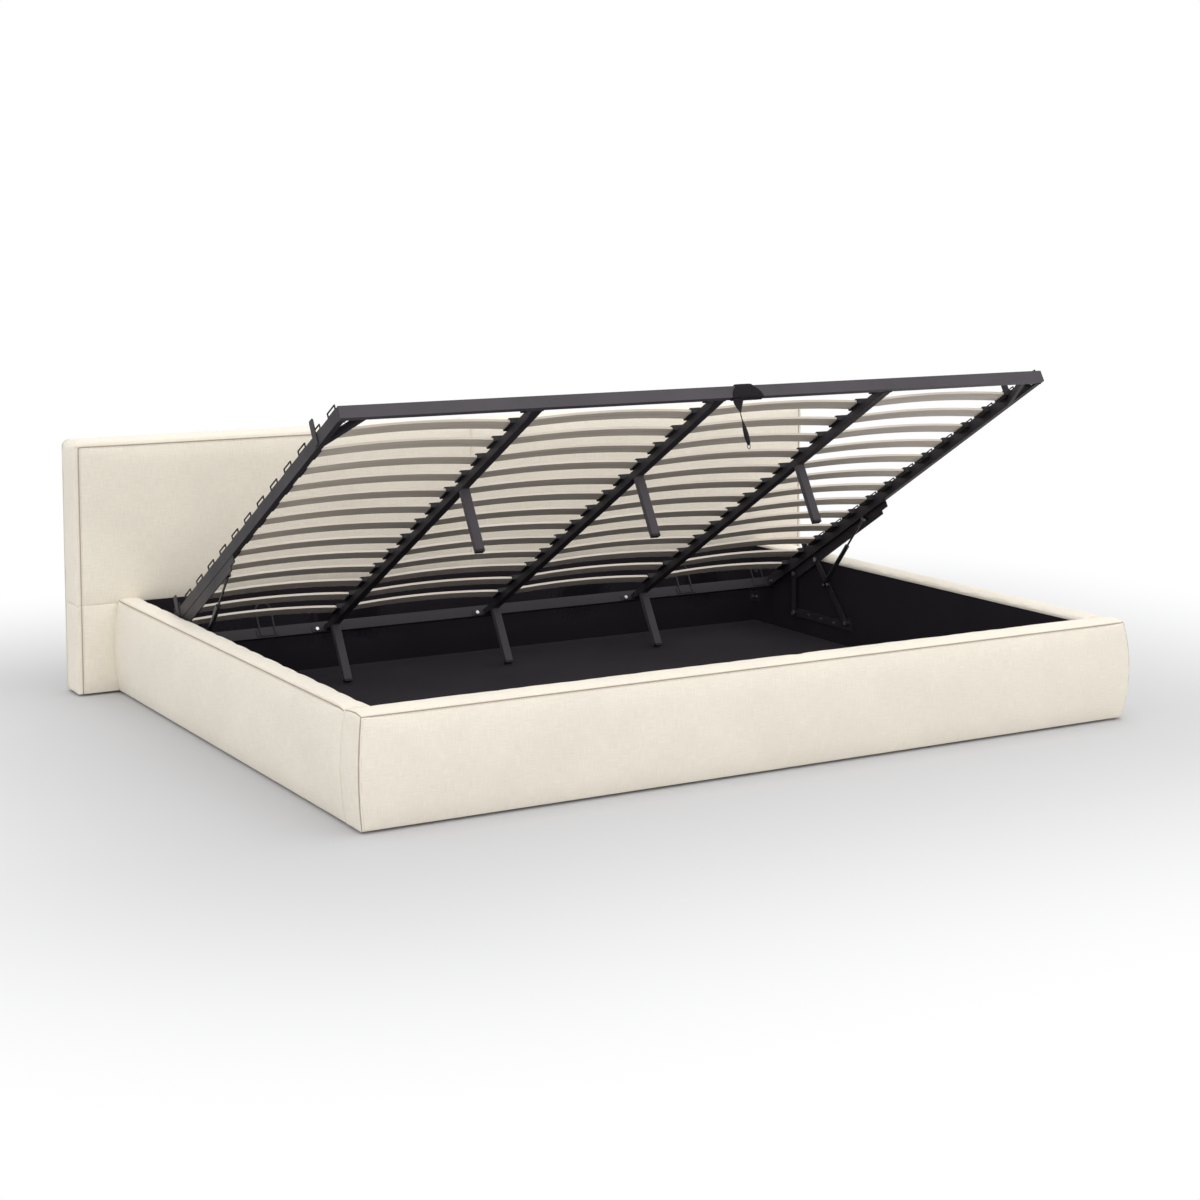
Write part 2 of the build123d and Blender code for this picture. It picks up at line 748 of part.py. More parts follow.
def make_slat_holders():
    """Sleeves that hook over the side tubes, and holders with two jaws on the beams."""
    pocket_height = holder_height - holder_floor - holder_roof
    pocket_middle = beam_top + holder_floor + pocket_height / 2
    pocket_width = slat_width + 2 * slat_play
    hole_height = hook_height - hook_thickness - hook_plate_thickness
    with BuildPart() as slat_holders_outer:
        for side in (-1, 1):
            with BuildSketch(beside_frame(side * frame_half_width)):
                with at_each_slat(hook_plate_thickness / 2):
                    Rectangle(holder_length, hook_plate_thickness)
            extrude(amount=-side * (tube_width + holder_back))
            with BuildSketch(beside_frame(side * frame_half_width)):
                with at_each_slat(hook_height / 2):
                    Rectangle(holder_length, hook_height)
                with at_each_slat(hook_plate_thickness + hole_height / 2):
                    Rectangle(holder_length - 2 * hook_thickness, hole_height, mode=Mode.SUBTRACT)
            extrude(amount=-side * hook_depth)
            with BuildSketch(beside_frame(side * side_tube_face)):
                with at_each_slat((hook_plate_thickness + beam_top) / 2):
                    Rectangle(holder_length, hook_plate_thickness - beam_top)
            extrude(amount=-side * holder_depth)
            with BuildSketch(beside_frame(side * (side_tube_face - holder_back))):
                with at_each_slat(pocket_middle):
                    Rectangle(pocket_width, pocket_height)
            extrude(amount=-side * holder_depth, mode=Mode.SUBTRACT)
    write(slat_holders_outer, "slat_holders_outer")

    jaw_reach = jaw_wall / 2 + jaw_depth
    flange_reach = jaw_reach + jaw_flange
    with BuildPart() as slat_holders_beams:
        for beam_x in beam_places:
            with BuildSketch(beside_frame(beam_x)):
                with at_each_slat(beam_top + holder_height / 2):
                    Rectangle(holder_length, holder_height)
            extrude(amount=jaw_reach, both=True)
            with BuildSketch(beside_frame(beam_x)):
                with at_each_slat(beam_top + holder_height - jaw_flange_thickness / 2):
                    Rectangle(holder_length, jaw_flange_thickness)
            extrude(amount=flange_reach, both=True)
            for side in (-1, 1):
                with BuildSketch(beside_frame(beam_x + side * jaw_wall / 2)):
                    with at_each_slat(pocket_middle):
                        Rectangle(pocket_width, pocket_height)
                extrude(amount=side * (flange_reach + overrun), mode=Mode.SUBTRACT)
    write(slat_holders_beams, "slat_holders_beams")


def make_legs():
    """Three legs in each row under the beams, and the plastic caps of legs and tubes."""
    leg_places = [(x, row) for x in beam_places for row in leg_rows]
    cap_length = leg_cap_height - leg_cap_lip
    with BuildPart() as frame_legs:
        with BuildSketch(frame_plane.offset(-tube_height)):
            with Locations(*leg_places):
                Rectangle(leg_width, leg_depth)
        extrude(amount=-(leg_length - leg_cap_height))
    write(frame_legs, "frame_legs")

    with BuildPart() as end_caps:
        with BuildSketch(frame_plane.offset(-tube_height - leg_length)):
            with Locations(*leg_places):
                RectangleRounded(leg_width, leg_depth, leg_cap_lip)
        extrude(amount=cap_length)
        with BuildSketch(frame_plane.offset(-tube_height - leg_length + cap_length)):
            with Locations(*leg_places):
                Rectangle(leg_width - 2 * leg_cap_lip, leg_depth - 2 * leg_cap_lip)
        extrude(amount=leg_cap_lip)
        for side in (-1, 1):
            with BuildSketch(beside_frame(side * frame_half_width)):
                with Locations((tube_width / 2, -tube_height / 2),
                               (frame_length - tube_width / 2, -tube_height / 2)):
                    Rectangle(tube_width - 2 * tube_wall, tube_height - 2 * tube_wall)
            extrude(amount=-side * plug_depth)
    write(end_caps, "end_caps")


def make_frame_fittings():
    """Corner braces, the beams' end plates, the frame's bolts and the mattress stops."""
    brace_x = frame_half_width - brace_on_foot
    brace_run = hypot(side_tube_face - brace_x, brace_on_side - tube_width)
    half_on_foot = brace_width / 2 * brace_run / (brace_on_side - tube_width)
    half_on_side = brace_width / 2 * brace_run / (side_tube_face - brace_x)
    plate_rows = (
        (tube_width, tube_width + end_plate_thickness, tube_width + end_plate_return),
        (frame_length - tube_width, frame_length - tube_width - end_plate_thickness,
         frame_length - tube_width - end_plate_return),
    )
    plate_z = (beam_middle - end_plate_height / 2, beam_middle + end_plate_height / 2)
    with BuildPart(frame_plane) as frame_braces:
        with BuildSketch(frame_plane.offset(-tube_height)):
            for side in (-1, 1):
                Polygon(
                    (side * (brace_x - half_on_foot), tube_width),
                    (side * (brace_x + half_on_foot), tube_width),
                    (side * side_tube_face, brace_on_side - half_on_side),
                    (side * side_tube_face, brace_on_side + half_on_side),
                    align=None,
                )
        extrude(amount=brace_height)
        for beam_x in beam_places:
            edge = beam_x - beam_width / 2
            for face, front, end in plate_rows:
                block((edge - end_plate_length, edge), sorted((face, front)), plate_z)
                block((edge - end_plate_thickness, edge), sorted((face, end)), plate_z)
    write(frame_braces, "frame_braces")

    with BuildPart() as frame_bolts:
        for beam_x in beam_places:
            edge = beam_x - beam_width / 2
            with BuildSketch(across_frame(tube_width + end_plate_thickness)):
                with Locations((edge - end_plate_bolt, beam_middle)):
                    Circle(frame_bolt_radius)
            extrude(amount=-frame_bolt_height)
            with BuildSketch(across_frame(frame_length - tube_width - end_plate_thickness)):
                with Locations((edge - end_plate_bolt, beam_middle)):
                    Circle(frame_bolt_radius)
            extrude(amount=frame_bolt_height)
        for side in (-1, 1):
            with BuildSketch(beside_frame(side * side_tube_face)):
                with Locations((side_bolt_from_end, beam_middle),
                               (frame_length - side_bolt_from_end, beam_middle)):
                    Circle(frame_bolt_radius)
            extrude(amount=-side * frame_bolt_height)
    write(frame_bolts, "frame_bolts")

    with BuildPart() as mattress_stops:
        for side in (-1, 1):
            with BuildSketch(beside_frame(side * frame_half_width)):
                with Locations(*[(row, (stop_rise - stop_drop) / 2) for row in stop_rows]):
                    RectangleRounded(stop_width, stop_rise + stop_drop, stop_width / 4)
            extrude(amount=side * stop_thickness)
    write(mattress_stops, "mattress_stops")


def make_head_hoops():
    """Wire hoops that stand on the head tube: two plain ones and a waved one at each corner."""
    plate_row = frame_length - tube_width
    plate_face = plate_row - hoop_plate_thickness
    plate_middle = -hoop_plate_top - hoop_plate_height / 2
    wire_low = plate_middle - hoop_plate_height / 4
    plain_plane = across_frame(plate_face + hoop_weld - hoop_wire / 2)
    waved_plane = across_frame(plate_face + hoop_weld - wave_wire / 2)
    plain_half = (hoop_width - hoop_wire) / 2
    plain_spring = hoop_rise - hoop_wire / 2 - plain_half
    wave_half = (wave_width - wave_wire) / 2
    dip_half = wave_half - 2 * wave_peak_radius
    peak_spring = wave_rise - wave_wire / 2 - wave_peak_radius
    with BuildPart() as left_hoops:
        with BuildSketch(across_frame(plate_row)):
            with Locations((-hoop_offset, plate_middle)):
                Rectangle(hoop_plate_width, hoop_plate_height)
            with Locations((-wave_offset, plate_middle)):
                Rectangle(wave_plate_width, hoop_plate_height)
        extrude(amount=hoop_plate_thickness)

        with BuildLine(plain_plane) as plain_path:
            left = -hoop_offset - plain_half
            right = -hoop_offset + plain_half
            Line((left, wire_low), (left, plain_spring))
            top = (-hoop_offset, plain_spring + plain_half)
            ThreePointArc((left, plain_spring), top, (right, plain_spring))
            Line((right, plain_spring), (right, wire_low))
        with BuildSketch(Plane(origin=plain_path.line @ 0, z_dir=plain_path.line % 0)):
            Circle(hoop_wire / 2)
        sweep(path=plain_path.line)

        with BuildLine(waved_plane) as waved_path:
            left = -wave_offset - wave_half
            right = -wave_offset + wave_half
            left_dip = -wave_offset - dip_half
            right_dip = -wave_offset + dip_half
            peak = peak_spring + wave_peak_radius
            Line((left, wire_low), (left, peak_spring))
            ThreePointArc((left, peak_spring), (left + wave_peak_radius, peak), (left_dip, peak_spring))
            Line((left_dip, peak_spring), (left_dip, wave_dip))
            ThreePointArc((left_dip, wave_dip), (-wave_offset, wave_dip - dip_half), (right_dip, wave_dip))
            Line((right_dip, wave_dip), (right_dip, peak_spring))
            ThreePointArc((right_dip, peak_spring), (right - wave_peak_radius, peak), (right, peak_spring))
            Line((right, peak_spring), (right, wire_low))
        with BuildSketch(Plane(origin=waved_path.line @ 0, z_dir=waved_path.line % 0)):
            Circle(wave_wire / 2)
        sweep(path=waved_path.line)
    with BuildPart() as head_hoops:
        add(left_hoops.part)
        mirror(left_hoops.part, about=Plane.YZ)
    write(head_hoops, "head_hoops")


def make_pull_strap():
    """The webbing loop round the foot tube, the flap that swings below it and its ring."""
    strap_right = strap_left + strap_width
    thick = strap_thickness
    with BuildPart() as strap_loop:
        with BuildSketch(beside_frame(strap_left)):
            with BuildLine():
                Polyline((-thick, 0), (-thick, -tube_height - thick), (tube_width + thick, -tube_height - thick),
                         (tube_width + thick, 0))
                ThreePointArc((tube_width + thick, 0), (tube_width / 2, strap_rise), (-thick, 0))
            make_face()
            with BuildLine():
                Polyline((0, 0), (0, -tube_height), (tube_width, -tube_height), (tube_width, 0))
                ThreePointArc((tube_width, 0), (tube_width / 2, strap_rise - thick), (0, 0))
            make_face(mode=Mode.SUBTRACT)
        extrude(amount=strap_width)
    write(strap_loop, "strap_loop")

    hinge_depth = tube_height + thick + strap_hinge_gap + thick / 2
    hinge = on_frame(0, -thick / 2, -hinge_depth)
    neck_x = strap_left + strap_neck_offset
    leaf_x = strap_left + strap_leaf_offset
    tip_x = strap_left + strap_tip_offset
    neck_z = hinge.Z - strap_neck_drop
    leaf_z = hinge.Z - strap_leaf_drop
    tip_z = hinge.Z - strap_tip_drop
    with BuildPart() as pull_strap:
        with BuildSketch(facing_foot(hinge.Y)):
            with BuildLine():
                Line((strap_left, hinge.Z), (strap_right, hinge.Z))
                Line((strap_right, hinge.Z), (neck_x + strap_neck_width / 2, neck_z))
                Spline(
                    (neck_x + strap_neck_width / 2, neck_z),
                    (leaf_x + strap_leaf_width / 2, leaf_z),
                    (tip_x + strap_tip_width / 2, tip_z),
                )
                Line((tip_x + strap_tip_width / 2, tip_z), (tip_x - strap_tip_width / 2, tip_z))
                Spline(
                    (tip_x - strap_tip_width / 2, tip_z),
                    (leaf_x - strap_leaf_width / 2, leaf_z),
                    (neck_x - strap_neck_width / 2, neck_z),
                )
                Line((neck_x - strap_neck_width / 2, neck_z), (strap_left, hinge.Z))
            make_face()
            with Locations((tip_x, tip_z + ring_hole_inset)):
                Circle(ring_hole_radius, mode=Mode.SUBTRACT)
        extrude(amount=thick / 2, both=True)
        pin(strap_left, strap_right, hinge, thick / 2)
    write(pull_strap, "pull_strap")

    ring_z = tip_z + ring_hole_inset - ring_radius
    with BuildPart() as strap_ring:
        with Locations((tip_x, hinge.Y, ring_z)):
            Torus(ring_radius, ring_wire / 2, rotation=(0, 90, 0))
    write(strap_ring, "strap_ring")


make_side_rail()
make_foot()
make_headboard()
make_storage_box()
make_box_fittings()
make_base_plate()
make_links()
make_gas_strut()
make_lift_bracket()
make_frame_tubes()
make_slats()
make_slat_holders()
make_legs()
make_frame_fittings()
make_head_hoops()
make_pull_strap()
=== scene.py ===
"""Looks of an upholstered storage bed whose slatted frame is raised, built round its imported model."""

import math

import bmesh
import bpy
import numpy as np
from bpy.props import FloatProperty, FloatVectorProperty, PointerProperty
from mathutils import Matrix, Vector


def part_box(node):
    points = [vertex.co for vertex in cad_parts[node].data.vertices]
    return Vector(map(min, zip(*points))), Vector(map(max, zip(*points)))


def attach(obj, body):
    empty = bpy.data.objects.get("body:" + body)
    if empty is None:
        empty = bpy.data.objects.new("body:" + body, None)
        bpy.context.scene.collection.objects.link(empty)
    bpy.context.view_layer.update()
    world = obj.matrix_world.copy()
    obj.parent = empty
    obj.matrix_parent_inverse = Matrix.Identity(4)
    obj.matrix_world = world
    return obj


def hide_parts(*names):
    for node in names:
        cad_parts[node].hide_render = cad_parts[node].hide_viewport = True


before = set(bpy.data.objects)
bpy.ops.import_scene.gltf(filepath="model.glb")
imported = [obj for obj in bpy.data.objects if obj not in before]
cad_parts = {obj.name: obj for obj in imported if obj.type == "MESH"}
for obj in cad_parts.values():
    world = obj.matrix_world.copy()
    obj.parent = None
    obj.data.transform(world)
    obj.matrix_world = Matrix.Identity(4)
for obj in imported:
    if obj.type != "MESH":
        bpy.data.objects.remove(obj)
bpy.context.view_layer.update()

bl_info = {
    "name": "Upholstered lifting bed",
    "version": (1, 0, 0),
    "blender": (4, 5, 0),
    "location": "View3D > Sidebar > Bed",
    "description": "Covers, finishes, small fittings and a stage for a bed with a raised slatted frame",
    "category": "Object",
}

AXES = {"x": 0, "y": 1, "z": 2}
BED = "bed_base"
SLATTED = "slatted_frame"
COLOUR = {"subtype": "COLOR", "size": 3, "min": 0, "max": 1}

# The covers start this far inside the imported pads, which leaves their padding room to stand out.
SIDE_ROOM = 0.018
TOP_ROOM = 0.005

# How far the cut for a board goes past a cover's open sides.
PAST_COVER = 0.05

# Each side of the bed: its corner of a box, its sign, its name, and a cover's outer and inner side.
SIDES = ((0, -1, "left", "x-", "x+"), (1, 1, "right", "x+", "x-"))

# The padding: how deep the arch of a rail's top and the bulge of the foot's ends fade out, and the little
# gathers where the rails' covers meet.
ARCH_DEPTH = 0.03
END_DEPTH = 0.11
GATHER_REACH = (0.02, 0.035, 0.03)
GATHER_DEPTH = 0.0035
GATHER_WAVES = 520

# The arch of the headboard's upper panels: how far it stands out, where it starts and how deep it fades out.
HEADBOARD_CROWN = 0.0075
CROWN_START = 0.028
CROWN_DEPTH = 0.05

# Roundings along a cover's edges: under a rail, at the joints of the headboard's panels, and at its back.
UNDER_ROUND = 0.004
JOINT_ROUND = 0.0035
BACK_ROUND = 0.004

# From a seam to the stitches beside it, half the crease there, and the share of its depth that a welt rises.
BESIDE_SEAM = 0.0065
HALF_CREASE = 0.0045
WELT_LIFT = 0.45

# The raised frame: its tilt, and the ways along it and out of its top face.
TILT = math.radians(30.35)
ALONG = Vector((0, math.cos(TILT), -math.sin(TILT)))
UPWARD = Vector((0, math.sin(TILT), math.cos(TILT)))
TUBE_HEIGHT = 0.04
HALF_TUBE = (0.010, 0.020)

# What is welded: middles across the frame, rows from its foot end, halves, and heights over its top face.
BEAM_MIDDLES = (-0.661, 0.0, 0.661)
HALF_BEAM = 0.0155
BEAM_TOP = -0.018
TUBE_FOOT = -0.0405
END_ROWS = (0.0205, 1.9045)
LEG_ROWS = (0.612, 1.84)
HALF_LEG = (0.0145, 0.0105)
LEG_TOP = -0.0408
CORNER = (1.3015, 1.3205, -0.002)


class CoverSizes(bpy.types.PropertyGroup):
    """Sizes of the padded covers."""

    side_crown: FloatProperty(
        name="Side crown", description="How far a rail's padding stands out at half height",
        default=0.016, unit="LENGTH",
    )
    top_crown: FloatProperty(
        name="Top crown", description="How far the padding on top of a rail is arched",
        default=0.007, unit="LENGTH",
    )
    edge_radius: FloatProperty(
        name="Edge radius", description="Rounding of a cover along its sewn edges",
        default=0.009, unit="LENGTH",
    )
    seam_depth: FloatProperty(
        name="Seam depth", description="How far a seam is drawn into the padding",
        default=0.004, unit="LENGTH",
    )
    cell: FloatProperty(
        name="Cell", description="Side of one cell of cloth in the simulation",
        default=0.03, unit="LENGTH",
    )
    pressure: FloatProperty(
        name="Pressure", description="How hard the padding pushes the cloth out between its seams",
        default=4.0,
    )
    puff: FloatProperty(
        name="Puff", description="The most that the cloth may move when it is filled",
        default=0.005, unit="LENGTH",
    )
    border: FloatProperty(
        name="Headboard border", description="From the headboard's edge to the seam that frames its front",
        default=0.017, unit="LENGTH",
    )


class StitchSizes(bpy.types.PropertyGroup):
    """Sizes of the sewing along the seams."""

    pitch: FloatProperty(
        name="Pitch", description="From one stitch to the next", default=0.0075, unit="LENGTH",
    )
    length: FloatProperty(
        name="Length", description="Length of one stitch", default=0.0055, unit="LENGTH",
    )
    thread: FloatProperty(
        name="Thread radius", description="Half the thickness of the thread", default=0.0004, unit="LENGTH",
    )
    welt: FloatProperty(
        name="Welt radius", description="Half the thickness of the folded edge in a seam",
        default=0.0019, unit="LENGTH",
    )


class BedColours(bpy.types.PropertyGroup):
    """Colours of the finishes."""

    cover: FloatVectorProperty(
        name="Cover", description="Woven cover of the rails and the headboard",
        default=(0.875, 0.815, 0.705), **COLOUR,
    )
    thread: FloatVectorProperty(
        name="Thread", description="Sewing thread of the cover",
        default=(0.50, 0.45, 0.385), **COLOUR,
    )
    # Darker than the cover: painted shade of the crease in each seam, carried by the welt that lies in it.
    seam: FloatVectorProperty(
        name="Seam", description="Folded edge of the cover inside its seams",
        default=(0.45, 0.375, 0.30), **COLOUR,
    )
    lining: FloatVectorProperty(
        name="Lining", description="Lining of the storage space",
        default=(0.0170, 0.0138, 0.0190), **COLOUR,
    )
    coat: FloatVectorProperty(
        name="Frame coat", description="Powder coat of the steel frame",
        default=(0.030, 0.0265, 0.0305), **COLOUR,
    )
    slat: FloatVectorProperty(
        name="Slats", description="Layered wood of the slats",
        default=(0.66, 0.60, 0.525), **COLOUR,
    )
    webbing: FloatVectorProperty(
        name="Webbing", description="Woven band of the pull strap",
        default=(0.011, 0.0095, 0.012), **COLOUR,
    )


class StageSizes(bpy.types.PropertyGroup):
    """The floor's tone, the lamps and the light from all round."""

    top_power: FloatProperty(
        name="Top lamp", description="Power of the wide lamp above the bed",
        default=66.0, unit="POWER",
    )
    front_power: FloatProperty(
        name="Front lamp", description="Power of the soft lamp in front of the foot",
        default=305.0, unit="POWER",
    )
    fill: FloatProperty(
        name="Fill", description="Strength of the light from all round", default=1.03,
    )
    floor_white: FloatProperty(
        name="Floor white", description="How much of the floor's tone is plain white close to the bed",
        default=0.0, min=0, max=1, subtype="FACTOR",
    )
    floor_fade: FloatProperty(
        name="Floor fade", description="How far from the bed the floor has become plain white",
        default=2.2, unit="LENGTH",
    )


def add_node(tree, kind, inputs=None, **settings):
    """A node with its settings. An input, by name or number, is a value, or a node and the output to link."""
    made = tree.nodes.new(kind)
    for key, value in settings.items():
        setattr(made, key, value)
    for key, value in (inputs or {}).items():
        if isinstance(value, tuple) and isinstance(value[0], bpy.types.Node):
            join(*value, made, key)
        else:
            made.inputs[key].default_value = value
    return made


def join(start, output, end, socket):
    """A link from one node's output to another's input."""
    start.id_data.links.new(start.outputs[output], end.inputs[socket])


def in_use(sockets, name):
    """The socket of this name that the node's settings leave in use."""
    return next(socket for socket in sockets if socket.name == name and socket.enabled)


def plain_finish(name, colour, roughness, **sockets):
    """A material with one principled shader; socket names use _ for spaces."""
    made = bpy.data.materials.new(name)
    made.use_nodes = True
    shader = made.node_tree.nodes["Principled BSDF"]
    shader.inputs["Base Color"].default_value = (*colour, 1)
    shader.inputs["Roughness"].default_value = roughness
    for key, value in sockets.items():
        shader.inputs[key.replace("_", " ")].default_value = value
    return made, made.node_tree, shader


def places_node(tree, uv=False, scale=(1, 1, 1), turn=(0, 0, 0)):
    """Places on the piece, from its UV map or its object coordinates, scaled and turned."""
    source = add_node(tree, "ShaderNodeTexCoord")
    return add_node(tree, "ShaderNodeMapping", {
        "Vector": (source, "UV" if uv else "Object"), "Scale": scale, "Rotation": turn,
    })


def noise(places, scale, detail=3.0, roughness=0.55):
    """A noise texture on these places."""
    return add_node(places.id_data, "ShaderNodeTexNoise", {
        "Vector": (places, "Vector"), "Scale": scale, "Detail": detail, "Roughness": roughness,
    })


def ramp(start, output, low, high, low_value=0.0, high_value=1.0):
    """A value moved from one range to another and held inside it."""
    return add_node(start.id_data, "ShaderNodeMapRange", {
        "Value": (start, output), "From Min": low, "From Max": high,
        "To Min": low_value, "To Max": high_value,
    })


def combine(operation, first, output, second=None, second_output="Value", value=0.0):
    """Two outputs, or an output and a value, in one by a sum, a product or the like."""
    return add_node(first.id_data, "ShaderNodeMath", {
        0: (first, output), 1: value if second is None else (second, second_output),
    }, operation=operation)


def tint(shader, factor, output, low, high, span=None):
    """The base colour between two tones by a factor, stretched first where it has a span of its own."""
    if span:
        factor, output = ramp(factor, output, *span), "Result"
    mix = add_node(shader.id_data, "ShaderNodeMix", {
        "A": (*low, 1), "B": (*high, 1), "Factor": (factor, output),
    }, data_type="RGBA")
    join(mix, "Result", shader, "Base Color")


def vary_gloss(shader, pattern, low, high):
    """Roughness that follows a pattern."""
    join(ramp(pattern, "Fac", 0.3, 0.7, low, high), "Result", shader, "Roughness")


def relief(shader, height, output, strength, distance):
    """A bump on the shader from a height."""
    made = add_node(shader.id_data, "ShaderNodeBump", {
        "Height": (height, output), "Strength": strength, "Distance": distance,
    })
    join(made, "Normal", shader, "Normal")


def shade(colour, share):
    """A colour made darker or lighter by a share."""
    return tuple(min(1.0, c * share) for c in colour)


def woven_finish(name, colour, thread_pitch, bump, contrast=0.12, sheen=0.2, uv=True):
    """Plain-woven cloth: crossing yarns of uneven thickness, slubs and a soft sheen."""
    made, tree, shader = plain_finish(
        name, colour, 0.88, Sheen_Weight=sheen, Sheen_Roughness=0.45, Specular_IOR_Level=0.2,
    )
    places = places_node(tree, uv=uv)
    wander = add_node(tree, "ShaderNodeVectorMath", {
        0: (noise(places, 9.0, 2.0), "Color"), "Scale": 0.0012,
    }, operation="SCALE")
    warped = add_node(tree, "ShaderNodeVectorMath", {
        0: (places, "Vector"), 1: (wander, "Vector"),
    }, operation="ADD")
    warp, weft = [
        add_node(tree, "ShaderNodeTexWave", {
            "Vector": (warped, "Vector"), "Scale": math.pi / (10 * thread_pitch), "Distortion": 0.6,
            "Detail": 1.0, "Detail Scale": 2.0,
        }, wave_type="BANDS", bands_direction=direction, wave_profile="SIN")
        for direction in ("X", "Y")
    ]
    weave = combine("MULTIPLY", warp, "Fac", weft, "Fac")
    long, cross = [noise(places_node(tree, uv=uv, scale=stretch), 1.0, 2.0)
                   for stretch in ((22, 420, 420), (420, 22, 420))]
    slubs = ramp(combine("ADD", long, "Fac", cross, "Fac"), "Value", 0.75, 1.25)
    clouds = ramp(noise(places, 3.5, 3.0), "Fac", 0.35, 0.65)
    tone = combine("ADD", combine("MULTIPLY", slubs, "Result", value=0.55), "Value",
                   combine("MULTIPLY", clouds, "Result", value=0.25))
    tone = combine("ADD", tone, "Value", combine("MULTIPLY", weave, "Value", value=0.35))
    tint(shader, tone, "Value", shade(colour, 1 - contrast), shade(colour, 1 + contrast * 0.6))
    height = combine("ADD", weave, "Value", combine("MULTIPLY", slubs, "Result", value=0.6))
    relief(shader, height, "Value", bump, 0.0006)
    return made


def felt_finish(name, colour, cloudy=0.2):
    """Pressed non-woven cloth: short crossing fibres and a faint cloudiness."""
    made, tree, shader = plain_finish(name, colour, 0.93, Sheen_Weight=0.03, Specular_IOR_Level=0.12)
    long, cross = [noise(places_node(tree, scale=stretch), 1.0, 4.0)
                   for stretch in ((260, 900, 260), (900, 260, 900))]
    clouds = noise(places_node(tree), 2.2, 4.0)
    tint(shader, clouds, "Fac", shade(colour, 1 - cloudy), shade(colour, 1 + cloudy), (0.3, 0.7))
    relief(shader, combine("ADD", long, "Fac", cross, "Fac"), "Value", 0.25, 0.0006)
    return made


def coat_finish(name, colour, roughness=0.5, dust=0.12):
    """Powder coat on steel: fine orange peel, uneven gloss and a little dust."""
    made, tree, shader = plain_finish(name, colour, roughness, Specular_IOR_Level=0.22)
    places = places_node(tree)
    patches = noise(places, 6.0, 5.0)
    tint(shader, patches, "Fac", shade(colour, 1 - dust), shade(colour, 1 + dust), (0.3, 0.7))
    vary_gloss(shader, patches, roughness - 0.08, roughness + 0.1)
    relief(shader, noise(places, 700.0, 2.0), "Fac", 0.18, 0.0003)
    return made


def wood_finish(name, colour, grain_scale, roughness=0.5, contrast=0.16, turn=(0, 0, 0)):
    """Wood with its grain along X: long fibres, growth bands and pores."""
    made, tree, shader = plain_finish(name, colour, roughness, Specular_IOR_Level=0.35)
    grain = noise(places_node(tree, scale=grain_scale, turn=turn), 1.0, 5.0, 0.6)
    bands = noise(places_node(tree, scale=tuple(s * 0.22 for s in grain_scale), turn=turn), 1.0, 2.0)
    darker = [c * (1 - contrast * share) for c, share in zip(colour, (1, 1.15, 1.4))]
    both = combine("ADD", grain, "Fac", bands, "Fac")
    tint(shader, both, "Value", darker, shade(colour, 1 + contrast * 0.5), (0.7, 1.3))
    vary_gloss(shader, grain, roughness - 0.06, roughness + 0.1)
    relief(shader, grain, "Fac", 0.12, 0.0004)
    return made


def chip_finish(name, colour):
    """Raw pressed board: pale and dark chips."""
    made, tree, shader = plain_finish(name, colour, 0.85)
    chips = add_node(tree, "ShaderNodeTexVoronoi", {
        "Vector": (places_node(tree), "Vector"), "Scale": 240.0, "Randomness": 1.0,
    })
    spread = add_node(tree, "ShaderNodeSeparateColor", {"Color": (chips, "Color")})
    tint(shader, spread, "Red", shade(colour, 0.7), shade(colour, 1.2))
    relief(shader, chips, "Distance", 0.3, 0.0006)
    return made


def moulded_finish(name, colour, roughness=0.62):
    """Moulded plastic with a fine spark-eroded grain."""
    made, tree, shader = plain_finish(name, colour, roughness, Specular_IOR_Level=0.3)
    places = places_node(tree)
    tint(shader, noise(places, 30.0, 3.0), "Fac", shade(colour, 0.85), shade(colour, 1.35), (0.35, 0.65))
    relief(shader, noise(places, 1400.0, 2.0), "Fac", 0.25, 0.0002)
    return made


def metal_finish(name, colour, roughness, spangle=0.15, scale=(60, 60, 60)):
    """Bare or plated metal: crystals or fine lines in its gloss."""
    made, tree, shader = plain_finish(name, colour, roughness, Metallic=1.0)
    crystals = noise(places_node(tree, scale=scale), 1.0, 4.0)
    tint(shader, crystals, "Fac", shade(colour, 1 - spangle), colour, (0.3, 0.7))
    vary_gloss(shader, crystals, max(0.04, roughness - 0.08), roughness + 0.12)
    relief(shader, crystals, "Fac", 0.06, 0.0002)
    return made


def gloss_finish(name, colour, roughness=0.22):
    """Sprayed gloss paint with a clear coat and fine flow marks."""
    made, tree, shader = plain_finish(name, colour, roughness, Coat_Weight=0.6, Coat_Roughness=0.12)
    flow = noise(places_node(tree), 120.0, 2.0)
    tint(shader, flow, "Fac", shade(colour, 0.8), shade(colour, 1.25), (0.3, 0.7))
    relief(shader, flow, "Fac", 0.05, 0.0004)
    return made


FINISHES = {}

# The covers that are made, with the lines of their seams, for the sewing that comes after them.
SEWN = []

# Nodes whose finish differs from that of their slot. The legs and the foot tube get lighter copies of the
# frame's coat: painted light on their fronts, which face the lamps.
OWN_FINISH = {"frame_legs": "leg_paint", "frame_foot_tube": "edge_paint", "strap_ring": "ring"}


